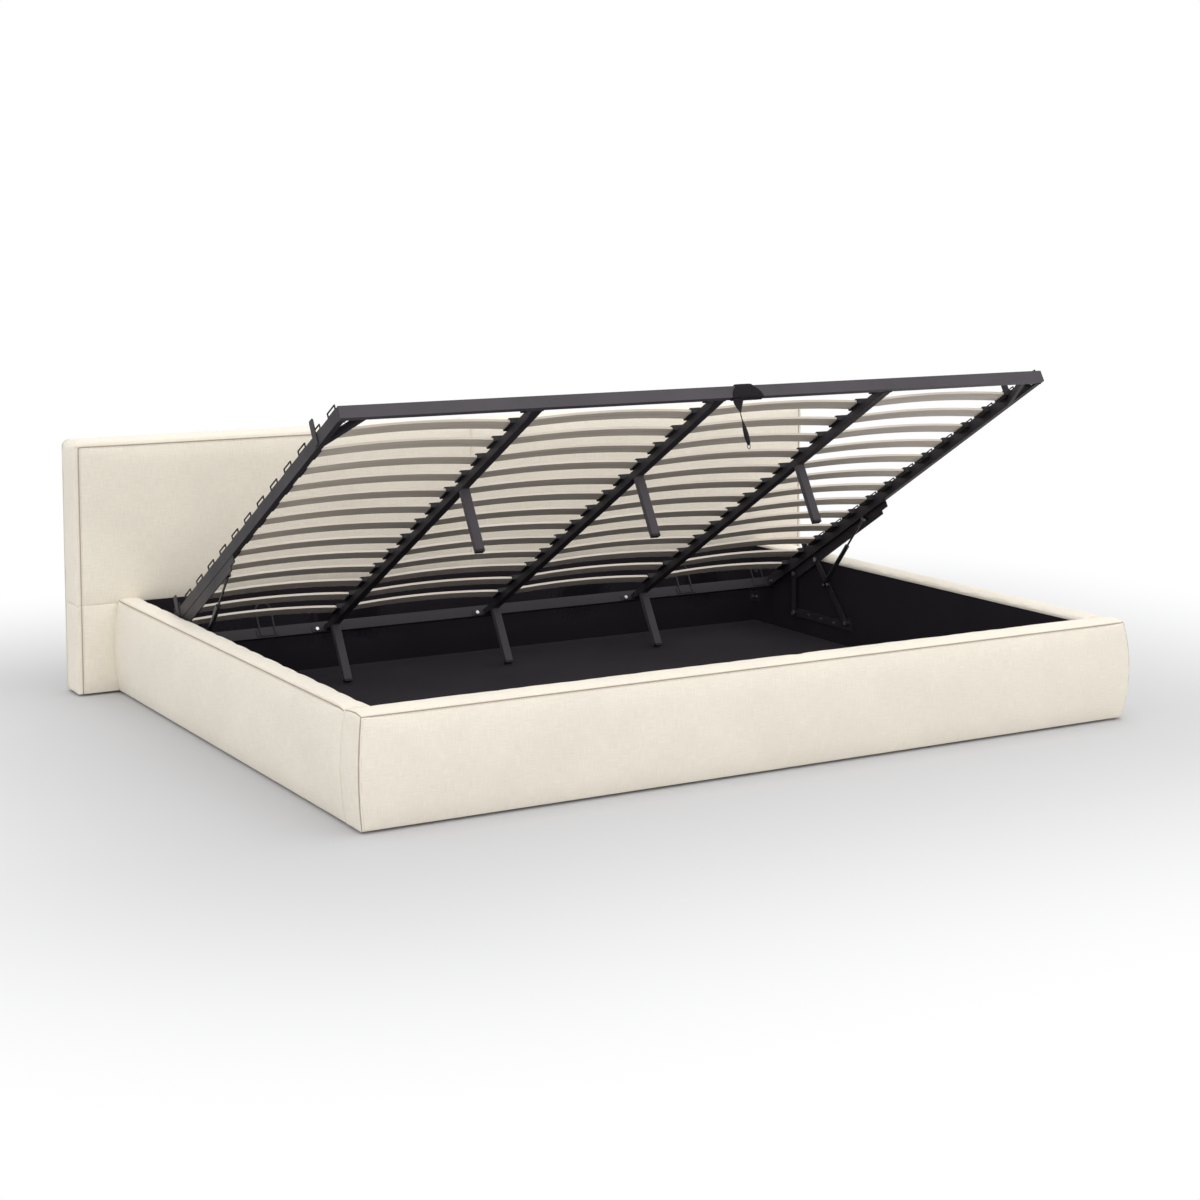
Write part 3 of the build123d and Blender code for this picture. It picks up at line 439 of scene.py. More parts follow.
def make_finishes(colours):
    """Every finish, under the name of the record's slot that it goes with."""
    FINISHES.update({
        "upholstery": woven_finish("cream_weave", colours.cover, 0.0017, 0.35),
        "thread": woven_finish("cover_thread", colours.thread, 0.0006, 0.3, uv=False),
        # The welts' finish: a darker copy of the cloth, painted shade of the seams' creases.
        "seam": woven_finish("folded_seam", colours.seam, 0.0017, 0.3, sheen=0.05, uv=False),
        "backing": felt_finish("back_felt", shade(colours.cover, 0.8), cloudy=0.035),
        "board": chip_finish("raw_chipboard", (0.46, 0.34, 0.22)),
        "lining": felt_finish("box_lining", colours.lining),
        "floor_board": felt_finish("floor_lining", shade(colours.lining, 1.45)),
        "runner": wood_finish("pine_runner", (0.55, 0.40, 0.24), (60, 3, 60)),
        "frame_paint": coat_finish("charcoal_coat", colours.coat),
        # Lighter copies of the frame's coat: painted light on the legs and the foot tube, whose fronts face
        # the lamps.
        "leg_paint": coat_finish("leg_coat", shade(colours.coat, 2.5), 0.55),
        "edge_paint": coat_finish("foot_tube_coat", shade(colours.coat, 2.25), 0.45),
        "slat": wood_finish("beech_slat", colours.slat, (4, 160, 260), 0.45, turn=(TILT, 0, 0)),
        "holder": moulded_finish("holder_plastic", (0.014, 0.013, 0.015)),
        "cap": moulded_finish("cap_plastic", (0.017, 0.016, 0.018), 0.55),
        "zinc": metal_finish("zinc_plate", (0.74, 0.75, 0.77), 0.3),
        "strut_paint": gloss_finish("strut_gloss", (0.014, 0.014, 0.016)),
        "ring": metal_finish("dark_nickel", (0.22, 0.22, 0.23), 0.3),
        "rod": metal_finish("nitrided_rod", (0.13, 0.13, 0.14), 0.22, 0.08, (900, 40, 40)),
        "webbing": woven_finish("black_webbing", colours.webbing, 0.0022, 0.6, 0.35, 0.03),
    })


def side_of(lo, hi, word):
    """Axis, place and inward direction of a box's side, from a word such as x- or z+."""
    axis = AXES[word[0]]
    return (axis, lo[axis], 1) if word[1] == "-" else (axis, hi[axis], -1)


def spread_lines(start, end, step, edge, extra=()):
    """Grid lines from start to end: close together at both ends and about extra places, even between."""
    count = max(2, round((end - start - 2 * edge) / step) + 1)
    lines = list(np.linspace(start + edge, end - edge, count))
    for share in (0, 0.3, 0.65):
        lines += [start + edge * share, end - edge * share]
    for place in extra:
        lines = [n for n in lines if abs(n - place) > 2 * HALF_CREASE or n in (start, end)]
        lines += [place - HALF_CREASE, place, place + HALF_CREASE]
    return sorted(lines)


def add_object(name, data):
    """A new object in the scene, at the origin."""
    made = bpy.data.objects.new(name, data)
    bpy.context.scene.collection.objects.link(made)
    return made


def quad_piece(name, places, faces, flat):
    """A piece of quads with its UV map, one place on it for each corner of a face."""
    mesh = bpy.data.meshes.new(name)
    mesh.from_pydata(places, [], faces)
    layer = mesh.uv_layers.new(name="UVMap")
    layer.data.foreach_set("uv", np.array(flat, float).ravel())
    return add_object(name, mesh)


def box_shell(name, lines):
    """A closed box of quads on three sets of grid lines, with a UV map in metres on each side."""
    found, places, faces, flat = {}, [], [], []

    def corner(index):
        if index not in found:
            found[index] = len(places)
            places.append([lines[a][index[a]] for a in range(3)])
        return found[index]

    for axis in range(3):
        u, v = [a for a in range(3) if a != axis]
        for end in (0, len(lines[axis]) - 1):
            outward = (end == 0) == (axis == 1)
            for i in range(len(lines[u]) - 1):
                for j in range(len(lines[v]) - 1):
                    ring = [(i, j), (i + 1, j), (i + 1, j + 1), (i, j + 1)]
                    if not outward:
                        ring.reverse()
                    face = []
                    for p, q in ring:
                        index = [0, 0, 0]
                        index[axis], index[u], index[v] = end, p, q
                        face.append(corner(tuple(index)))
                        flat.append((lines[u][p], lines[v][q]))
                    faces.append(face)
    return quad_piece(name, places, faces, flat), np.array(places)


def round_edge(places, lo, hi, first, second, radius):
    """Points near one edge of a box moved onto its rounding."""
    a, place_a, way_a = side_of(lo, hi, first)
    b, place_b, way_b = side_of(lo, hi, second)
    from_a = radius - (places[:, a] - place_a) * way_a
    from_b = radius - (places[:, b] - place_b) * way_b
    near = (from_a > 0) & (from_b > 0)
    reach = np.maximum(from_a, from_b)[near]
    share = reach / np.hypot(from_a[near], from_b[near])
    places[near, a] = place_a + way_a * (radius - from_a[near] * share)
    places[near, b] = place_b + way_b * (radius - from_b[near] * share)


def on_side(flat, lo, hi, word):
    """Which points of the unshaped box lie on one of its sides."""
    axis, place, _ = side_of(lo, hi, word)
    return np.abs(flat[:, axis] - place) < 1e-7


def write_places(piece, places):
    """Moves a mesh's points."""
    piece.data.vertices.foreach_set("co", np.asarray(places, float).ravel())
    piece.data.update()


def read_places(mesh):
    """A mesh's points as an array."""
    found = np.zeros(len(mesh.vertices) * 3)
    mesh.vertices.foreach_get("co", found)
    return found.reshape(-1, 3)


def evaluated(holder):
    """What an object comes to with its modifiers."""
    return holder.evaluated_get(bpy.context.evaluated_depsgraph_get())


def settle(piece):
    """A piece's modifiers made part of its mesh."""
    mesh = bpy.data.meshes.new_from_object(evaluated(piece))
    piece.modifiers.clear()
    old = piece.data
    piece.data = mesh
    bpy.data.meshes.remove(old)


def fill_cover(piece, held, sizes, frames=14):
    """Cloth filled with padding: simulated under pressure, held at its seams and its hidden sides."""
    before = read_places(piece.data)
    group = piece.vertex_groups.new(name="held")
    group.add([int(n) for n in np.flatnonzero(held)], 1.0, "REPLACE")
    cloth = piece.modifiers.new("padding", "CLOTH")
    cloth.settings.effector_weights.gravity = 0
    for setting, value in {
        "vertex_group_mass": group.name, "use_pressure": True, "uniform_pressure_force": sizes.pressure,
        "quality": 4, "mass": 0.25, "tension_stiffness": 25, "compression_stiffness": 25,
        "bending_stiffness": 0.6, "shrink_min": -0.004,
    }.items():
        setattr(cloth.settings, setting, value)
    cloth.point_cache.frame_start = 1
    cloth.point_cache.frame_end = frames
    scene = bpy.context.scene
    for number in range(1, frames + 1):
        scene.frame_set(number)
    after = read_places(evaluated(piece).to_mesh())
    piece.modifiers.remove(cloth)
    piece.vertex_groups.remove(group)
    scene.frame_set(1)
    moved = after - before
    size = np.linalg.norm(moved, axis=1, keepdims=True)
    moved *= np.minimum(1.0, sizes.puff / np.maximum(size, 1e-9))
    write_places(piece, before + moved)


def subdivide(piece):
    """A smooth subdivision made part of the mesh."""
    smooth = piece.modifiers.new("smooth", "SUBSURF")
    smooth.levels = smooth.render_levels = 1
    smooth.boundary_smooth = "PRESERVE_CORNERS"
    settle(piece)


def cut_out(piece, lo, hi):
    """The room of a board taken out of a cover."""
    block, _ = box_shell("board_room", [(lo[a], hi[a]) for a in range(3)])
    cut = piece.modifiers.new("cut", "BOOLEAN")
    cut.operation, cut.solver, cut.object = "DIFFERENCE", "EXACT", block
    settle(piece)
    bpy.data.objects.remove(block)


def dress(piece, finish):
    """One finish on the whole piece, shaded smooth."""
    piece.data.materials.clear()
    piece.data.materials.append(FINISHES[finish])
    piece.data.polygons.foreach_set("use_smooth", [True] * len(piece.data.polygons))
    piece.data.update()
    return piece


def make_cover(name, lo, hi, edges, seams, loose, crown, sizes, room, replaced, insets=(), fixed="y+"):
    """One padded cover: a box of cloth with rounded edges, crowned, drawn in at its seams, filled and
    smoothed. Returns the piece and the lines of its seams, each with the way to its stitches."""
    lo, hi = Vector(lo), Vector(hi)
    extra = {axis: [place for a, place in insets if a == axis] for axis in range(3)}
    lines = [spread_lines(lo[a], hi[a], sizes.cell, sizes.edge_radius, extra[a]) for a in range(3)]
    piece, flat = box_shell(name, lines)
    shaped = flat.copy()
    for first, second, radius in edges:
        round_edge(shaped, lo, hi, first, second, radius)
    shaped += crown(flat)
    held = np.ones(len(flat), bool)
    for word in loose:
        held &= ~on_side(flat, lo, hi, word)
    held |= on_side(flat, lo, hi, fixed)
    paths = []
    for first, second, beside in seams:
        sides = [side_of(lo, hi, word) for word in (first, second) if isinstance(word, str)]
        line = on_side(flat, lo, hi, first)
        if isinstance(second, str):
            line &= on_side(flat, lo, hi, second)
        else:
            axis, place, low, high, along = second
            line &= np.abs(flat[:, axis] - place) < 1e-7
            line &= (flat[:, along] > low - 1e-6) & (flat[:, along] < high + 1e-6)
        inward = np.zeros(3)
        for axis, _, way in sides:
            inward[axis] += way
        inward /= np.linalg.norm(inward)
        shaped[line] += inward * sizes.seam_depth
        held |= line
        paths.append((np.flatnonzero(line), beside, -inward * sizes.seam_depth * WELT_LIFT))
    write_places(piece, shaped)
    fill_cover(piece, held, sizes)
    filled = read_places(piece.data)
    runs = []
    for path, beside, lift in paths:
        spans = np.ptp(flat[path], axis=0)
        order = path[np.argsort(flat[path][:, int(np.argmax(spans))])]
        runs.append((filled[order] + lift, beside))
    subdivide(piece)
    cut_out(piece, *room)
    dress(piece, "upholstery")
    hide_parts(replaced)
    return piece, runs


def line_object(name, runs, radius=0.0):
    """A curve object with one straight-run spline for each run of points."""
    curve = bpy.data.curves.new(name + "_line", "CURVE")
    curve.dimensions = "3D"
    curve.bevel_depth = radius
    curve.bevel_resolution = 2
    curve.use_fill_caps = radius > 0
    for run in runs:
        spline = curve.splines.new("POLY")
        spline.points.add(len(run) - 1)
        for point, place in zip(spline.points, run):
            point.co = (*place, 1)
    return add_object(name + "_line", curve)


def meshed(name, holder, finish):
    """What an object evaluates to, as a plain mesh piece with its finish. The object goes."""
    mesh = bpy.data.meshes.new_from_object(evaluated(holder))
    mesh.name = name
    bpy.data.objects.remove(holder)
    return dress(add_object(name, mesh), finish)


def laid_along(name, tree, runs, values, finish):
    """The mesh that a node tree makes along runs of points."""
    holder = line_object(name, runs)
    nodes = holder.modifiers.new("nodes", "NODES")
    nodes.node_group = tree
    for socket in tree.interface.items_tree:
        if socket.item_type == "SOCKET" and socket.in_out == "INPUT" and socket.name in values:
            nodes[socket.identifier] = values[socket.name]
    return meshed(name, holder, finish)


def board_room_of(*nodes):
    """The room that one or more boards and linings take together, as two corners."""
    boxes = [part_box(node) for node in nodes]
    lo = [min(b[0][a] for b in boxes) for a in range(3)]
    hi = [max(b[1][a] for b in boxes) for a in range(3)]
    return lo, hi


class BED_OT_finishes(bpy.types.Operator):
    """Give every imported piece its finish"""

    bl_idname = "bed.finishes"
    bl_label = "Finishes"

    def execute(self, context):
        make_finishes(context.scene.bed_colours)
        for name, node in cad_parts.items():
            for held in node.material_slots:
                slot = held.material.name.split(".")[0]
                if slot not in FINISHES:
                    raise RuntimeError(f"{name} has a slot without a finish: {slot}")
                held.material = FINISHES[OWN_FINISH.get(name, slot)]
        return {"FINISHED"}


def rail_crown(lo, hi, sizes, outward, ends):
    """How a rail's cover stands out: most at half height on its outer side, arched on top, and gathered a
    little at its ends."""
    middle, half = (lo[2] + hi[2]) / 2, (hi[2] - lo[2]) / 2

    def crown(flat):
        moved = np.zeros_like(flat)
        bulge = 1 - ((flat[:, 2] - middle) / half) ** 2
        for word, depth in outward:
            axis, place, way = side_of(lo, hi, word)
            share = np.clip(1 - (flat[:, axis] - place) * way / depth, 0, 1)
            moved[:, axis] -= way * sizes.side_crown * bulge * share
        axis, place, way = side_of(lo, hi, outward[0][0])
        across = (flat[:, axis] - place) * way / (hi[axis] - lo[axis])
        arch = 1 - (2 * across - 1) ** 2
        high = np.clip((flat[:, 2] - hi[2] + ARCH_DEPTH) / ARCH_DEPTH, 0, 1)
        moved[:, 2] += sizes.top_crown * arch * high
        for x, y in ends:
            near = np.exp(-sum(((flat[:, a] - (x, y, hi[2])[a]) / GATHER_REACH[a]) ** 2 for a in range(3)))
            moved[:, 2] -= GATHER_DEPTH * near * (1 + np.sin(flat[:, 1] * GATHER_WAVES))
        return moved

    return crown


class BED_OT_foot_cover(bpy.types.Operator):
    """Make the padded cover of the foot, with its seams"""

    bl_idname = "bed.foot_cover"
    bl_label = "Foot cover"

    def execute(self, context):
        sizes = context.scene.bed_covers
        low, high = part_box("foot_pad")
        lo = (low[0] + SIDE_ROOM, low[1] + SIDE_ROOM, low[2])
        hi = (high[0] - SIDE_ROOM, high[1], high[2] - TOP_ROOM)
        r = sizes.edge_radius
        edges = [("y-", "z+", r), ("x-", "z+", r), ("x+", "z+", r), ("x-", "y-", r), ("x+", "y-", r),
                 ("x-", "y+", r), ("x+", "y+", r), ("y+", "z+", 0.012), ("y-", "z-", UNDER_ROUND)]
        below, inward = (0, 0, -BESIDE_SEAM), (BESIDE_SEAM, 0, 0)
        seams = [("y-", "z+", below), ("y-", "x-", inward), ("y-", "x+", (-BESIDE_SEAM, 0, 0)),
                 ("x-", "z+", below), ("x+", "z+", below)]
        board = board_room_of("foot_board", "foot_lining")
        room = ((board[0][0], board[0][1], -PAST_COVER), (board[1][0], hi[1] + PAST_COVER, board[1][2]))
        crown = rail_crown(lo, hi, sizes, [("y-", hi[1] - lo[1]), ("x-", END_DEPTH), ("x+", END_DEPTH)],
                           [(x, hi[1]) for x in (lo[0], hi[0])])
        cover, runs = make_cover("foot_cover", lo, hi, edges, seams, ("y-", "x-", "x+", "z+"), crown,
                                 sizes, room, "foot_pad")
        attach(cover, BED)
        SEWN.append(("foot", cover, runs))
        return {"FINISHED"}


class BED_OT_side_covers(bpy.types.Operator):
    """Make the padded covers of both side rails"""

    bl_idname = "bed.side_covers"
    bl_label = "Side covers"

    def execute(self, context):
        sizes = context.scene.bed_covers
        r = sizes.edge_radius
        for end, sign, side, out, back in SIDES:
            node = f"side_rail_pad_{side}"
            lo, hi = corners = [list(corner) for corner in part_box(node)]
            corners[end][0] -= sign * SIDE_ROOM
            hi[2] -= TOP_ROOM
            edges = [(out, "z+", r), (out, "y-", r), (out, "y+", r), ("y-", "z+", 0.005), ("y+", "z+", 0.006),
                     (back, "z+", 0.016), (out, "z-", UNDER_ROUND)]
            board = board_room_of(f"side_rail_board_{side}", f"side_lining_{side}")
            room = ([board[0][0], lo[1] - PAST_COVER, -PAST_COVER],
                    [board[1][0], hi[1] + PAST_COVER, board[1][2]])
            room[1 - end][0] -= sign * PAST_COVER
            crown = rail_crown(lo, hi, sizes, [(out, hi[0] - lo[0])], [(corners[end][0], lo[1])])
            cover, runs = make_cover(f"side_cover_{side}", lo, hi, edges, [(out, "z+", (0, 0, -BESIDE_SEAM))],
                                     (out, "z+"), crown, sizes, room, node, fixed=back)
            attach(cover, BED)
            SEWN.append((f"side_{side}", cover, runs))
        return {"FINISHED"}


def headboard_crown(lo, hi, level, half):
    """The headboard's front arched a little, forward in the middle of its upper panels."""

    def crown(flat):
        moved = np.zeros_like(flat)
        front = np.clip(1 - (flat[:, 1] - lo[1]) / CROWN_DEPTH, 0, 1)
        across = 1 - (np.abs(flat[:, 0]) / half) ** 4
        if level == "upper":
            up = np.clip((flat[:, 2] - lo[2] - CROWN_START) / (hi[2] - lo[2] - CROWN_START), 0, 1)
            moved[:, 1] -= HEADBOARD_CROWN * 4 * up * (1 - up) * across * front
        return moved

    return crown


class BED_OT_headboard_covers(bpy.types.Operator):
    """Make the four padded panels of the headboard"""

    bl_idname = "bed.headboard_covers"
    bl_label = "Headboard covers"

    def execute(self, context):
        sizes = context.scene.bed_covers
        for end, sign, side, out, mid in SIDES:
            for level in ("upper", "lower"):
                node = f"headboard_{level}_pad_{side}"
                low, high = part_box(node)
                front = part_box(f"headboard_lower_pad_{side}")[0][1]
                lo, hi = [low[0], front, low[2]], list(high)
                outer = (lo, hi)[end][0]
                border = outer - sign * sizes.border
                inward = (-sign * BESIDE_SEAM, 0, 0)
                edges = [(out, "y-", 0.014), (mid, "y-", JOINT_ROUND), (out, "y+", BACK_ROUND)]
                if level == "upper":
                    edges = [(out, "z+", 0.026), ("y-", "z+", 0.014), ("y-", "z-", JOINT_ROUND),
                             ("y+", "z+", BACK_ROUND), *edges]
                    top = hi[2] - sizes.border
                    insets = ((0, border), (2, top))
                    across = (min(border, 0), max(border, 0))
                    seams = [("y-", (0, border, lo[2], top, 2), inward),
                             ("y-", (2, top, *across, 0), (0, 0, -BESIDE_SEAM))]
                else:
                    edges = [("y-", "z+", JOINT_ROUND), ("y-", "z-", 0.006), *edges]
                    insets = ((0, border),)
                    seams = [("y-", (0, border, lo[2], hi[2], 2), inward)]
                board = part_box(f"headboard_board_{side}")
                room = [[board[0][0], board[0][1], -PAST_COVER],
                        [board[1][0], hi[1] + PAST_COVER, board[1][2]]]
                room[1 - end][0] = -sign * PAST_COVER
                if level == "lower":
                    room[1][2] = hi[2] + PAST_COVER
                crown = headboard_crown(lo, hi, level, abs(outer))
                cover, runs = make_cover(f"headboard_{level}_cover_{side}", lo, hi, edges, seams,
                                         ("y-", out, "z+") if level == "upper" else ("y-", out),
                                         crown, sizes, room, node, insets)
                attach(cover, BED)
                SEWN.append((f"headboard_{level}_{side}", cover, runs))
        return {"FINISHED"}


def new_tree(name, sockets):
    """A node tree with a geometry input and output and named inputs; returns it with both end nodes."""
    tree = bpy.data.node_groups.new(name, "GeometryNodeTree")
    face = tree.interface
    face.new_socket("Geometry", in_out="INPUT", socket_type="NodeSocketGeometry")
    for label, kind, value in sockets:
        socket = face.new_socket(label, in_out="INPUT", socket_type=f"NodeSocket{kind}")
        if value is not None:
            socket.default_value = value
    face.new_socket("Geometry", in_out="OUTPUT", socket_type="NodeSocketGeometry")
    return tree, add_node(tree, "NodeGroupInput"), add_node(tree, "NodeGroupOutput")


def finish_tree(start, made, end):
    """Instances made real, with their material, at the end of a tree."""
    real = add_node(made.id_data, "GeometryNodeRealizeInstances", {"Geometry": (made, "Instances")})
    finish = add_node(made.id_data, "GeometryNodeSetMaterial", {
        "Geometry": (real, "Geometry"), "Material": (start, "Material"),
    })
    join(finish, "Geometry", end, "Geometry")


def even_points(tree, start):
    """Points along the tree's curves at its pitch."""
    return add_node(tree, "GeometryNodeCurveToPoints", {
        "Curve": (start, "Geometry"), "Length": (start, "Pitch"),
    }, mode="LENGTH")


def stitch_tree():
    """Stitches along curves: evenly spaced short arched threads that lie on the cover."""
    tree, start, end = new_tree("stitches", (
        ("Cover", "Object", None), ("Pitch", "Float", 0.0075), ("Stitch Length", "Float", 0.0055),
        ("Thread Radius", "Float", 0.0004), ("Material", "Material", None),
    ))
    points = even_points(tree, start)
    cover = add_node(tree, "GeometryNodeObjectInfo", {"Object": (start, "Cover")}, transform_space="RELATIVE")
    nearest = add_node(tree, "GeometryNodeProximity", {0: (cover, "Geometry")}, target_element="FACES")
    laid = add_node(tree, "GeometryNodeSetPosition", {
        "Geometry": (points, "Points"), "Position": (nearest, "Position"),
    })
    facing = add_node(tree, "GeometryNodeInputNormal")
    outward = add_node(tree, "GeometryNodeSampleNearestSurface", {
        "Mesh": (cover, "Geometry"),
    }, data_type="FLOAT_VECTOR")
    tree.links.new(facing.outputs["Normal"], in_use(outward.inputs, "Value"))
    up = add_node(tree, "FunctionNodeAlignRotationToVector", axis="Z")
    tree.links.new(in_use(outward.outputs, "Value"), up.inputs["Vector"])
    turn = add_node(tree, "FunctionNodeAlignRotationToVector", {
        "Rotation": (up, "Rotation"), "Vector": (points, "Tangent"),
    }, axis="X", pivot_axis="Z")
    radius = add_node(tree, "ShaderNodeMath", {0: (start, "Stitch Length"), 1: 0.65}, operation="MULTIPLY")
    arc = add_node(tree, "GeometryNodeCurveArc", {
        "Resolution": 5, "Radius": (radius, "Value"),
        "Start Angle": math.radians(40), "Sweep Angle": math.radians(100),
    })
    drop = add_node(tree, "ShaderNodeMath", {0: (radius, "Value"), 1: -0.85}, operation="MULTIPLY")
    offset = add_node(tree, "ShaderNodeCombineXYZ", {"Z": (drop, "Value")})
    upright = add_node(tree, "GeometryNodeTransform", {
        "Geometry": (arc, "Curve"), "Translation": (offset, "Vector"), "Rotation": (math.radians(90), 0, 0),
    })
    ring = add_node(tree, "GeometryNodeCurvePrimitiveCircle", {
        "Resolution": 5, "Radius": (start, "Thread Radius"),
    })
    thread = add_node(tree, "GeometryNodeCurveToMesh", {
        "Curve": (upright, "Geometry"), "Profile Curve": (ring, "Curve"), "Fill Caps": True,
    })
    placed = add_node(tree, "GeometryNodeInstanceOnPoints", {
        "Points": (laid, "Geometry"), "Instance": (thread, "Mesh"), "Rotation": (turn, "Rotation"),
    })
    finish_tree(start, placed, end)
    return tree


def bead_tree():
    """The ripples of a weld along curves: overlapping drops of uneven size."""
    tree, start, end = new_tree("weld_beads", (
        ("Pitch", "Float", 0.0022), ("Radius", "Float", 0.0024), ("Seed", "Int", 7),
        ("Material", "Material", None),
    ))
    points = even_points(tree, start)
    drop = add_node(tree, "GeometryNodeMeshIcoSphere", {"Subdivisions": 1, "Radius": (start, "Radius")})
    size = add_node(tree, "FunctionNodeRandomValue", {"Seed": (start, "Seed")}, data_type="FLOAT")
    in_use(size.inputs, "Min").default_value = 0.8
    in_use(size.inputs, "Max").default_value = 1.1
    placed = add_node(tree, "GeometryNodeInstanceOnPoints", {
        "Points": (points, "Points"), "Instance": (drop, "Mesh"), "Rotation": (points, "Rotation"),
    })
    tree.links.new(in_use(size.outputs, "Value"), placed.inputs["Scale"])
    finish_tree(start, placed, end)
    return tree


class BED_OT_seams(bpy.types.Operator):
    """Lay the folded welts in the covers' seams, and a row of stitches beside each"""

    bl_idname = "bed.seams"
    bl_label = "Seams"

    def execute(self, context):
        sizes = context.scene.bed_stitches
        tree = stitch_tree()
        for name, cover, runs in SEWN:
            folded = line_object(f"{name}_welt", [run for run, _ in runs], sizes.welt)
            # The welt takes the darker seam finish: painted shade of the crease.
            welt = meshed(f"{name}_welt", folded, "seam")
            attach(welt, BED)
            rows = [run + np.array(beside) for run, beside in runs]
            stitches = laid_along(f"{name}_stitches", tree, rows, {
                "Cover": cover, "Pitch": sizes.pitch, "Stitch Length": sizes.length,
                "Thread Radius": sizes.thread, "Material": FINISHES["thread"],
            }, "thread")
            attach(stitches, BED)
        return {"FINISHED"}


def on_frame(x, row, height):
    """A point of the raised frame: across, from its foot end and above its top face, in metres."""
    low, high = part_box("frame_foot_tube")
    corner = Vector((0, low[1] + TUBE_HEIGHT * math.sin(TILT), high[2]))
    return corner + Vector((x, 0, 0)) + ALONG * row + UPWARD * height


class BED_OT_weld_beads(bpy.types.Operator):
    """Lay weld beads where the beams and the legs join the frame"""

    bl_idname = "bed.weld_beads"
    bl_label = "Weld beads"

    def execute(self, context):
        rows = []
        for middle in BEAM_MIDDLES:
            left, right = middle - HALF_BEAM, middle + HALF_BEAM
            for row in END_ROWS:
                rows.append([(left, row, BEAM_TOP), (left, row, TUBE_FOOT), (right, row, TUBE_FOOT),
                             (right, row, BEAM_TOP)])
            for row in LEG_ROWS:
                rows.append([(middle + a * HALF_LEG[0], row + b * HALF_LEG[1], LEG_TOP)
                             for a, b in ((-1, -1), (1, -1), (1, 1), (-1, 1), (-1, -1))])
        inner, outer, top = CORNER
        for side in (-1, 1):
            for row in END_ROWS:
                rows.append([(side * inner, row, top), (side * inner, row, TUBE_FOOT),
                             (side * outer, row, TUBE_FOOT)])
        runs = [[on_frame(*place) for place in run] for run in rows]
        values = {"Material": FINISHES["frame_paint"]}
        beads = laid_along("weld_beads", bead_tree(), runs, values, "frame_paint")
        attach(beads, SLATTED)
        return {"FINISHED"}


def woven_band(name, rows, thickness, closed=False):
    """A band of webbing through rows of points, given a thickness, with its UV map in metres."""
    count = len(rows[0])
    places = [tuple(place) for row in rows for place in row]
    lengths = [0.0]
    for before, after in zip(rows, rows[1:] + rows[:1]):
        lengths.append(lengths[-1] + (Vector(after[count // 2]) - Vector(before[count // 2])).length)
    faces, flat = [], []
    last = len(rows) if closed else len(rows) - 1
    for i in range(last):
        across = [0.0]
        for a, b in zip(rows[i], rows[i][1:]):
            across.append(across[-1] + (Vector(b) - Vector(a)).length)
        for j in range(count - 1):
            after = (i + 1) % len(rows)
            faces.append((i * count + j, i * count + j + 1, after * count + j + 1, after * count + j))
            flat += [(across[j], lengths[i]), (across[j + 1], lengths[i]),
                     (across[j + 1], lengths[i + 1]), (across[j], lengths[i + 1])]
    piece = quad_piece(name, places, faces, flat)
    thick = piece.modifiers.new("thick", "SOLIDIFY")
    thick.thickness, thick.offset = thickness, 0
    smooth = piece.modifiers.new("smooth", "SUBSURF")
    smooth.levels = smooth.render_levels = 1
    settle(piece)
    dress(piece, "webbing")
    return piece


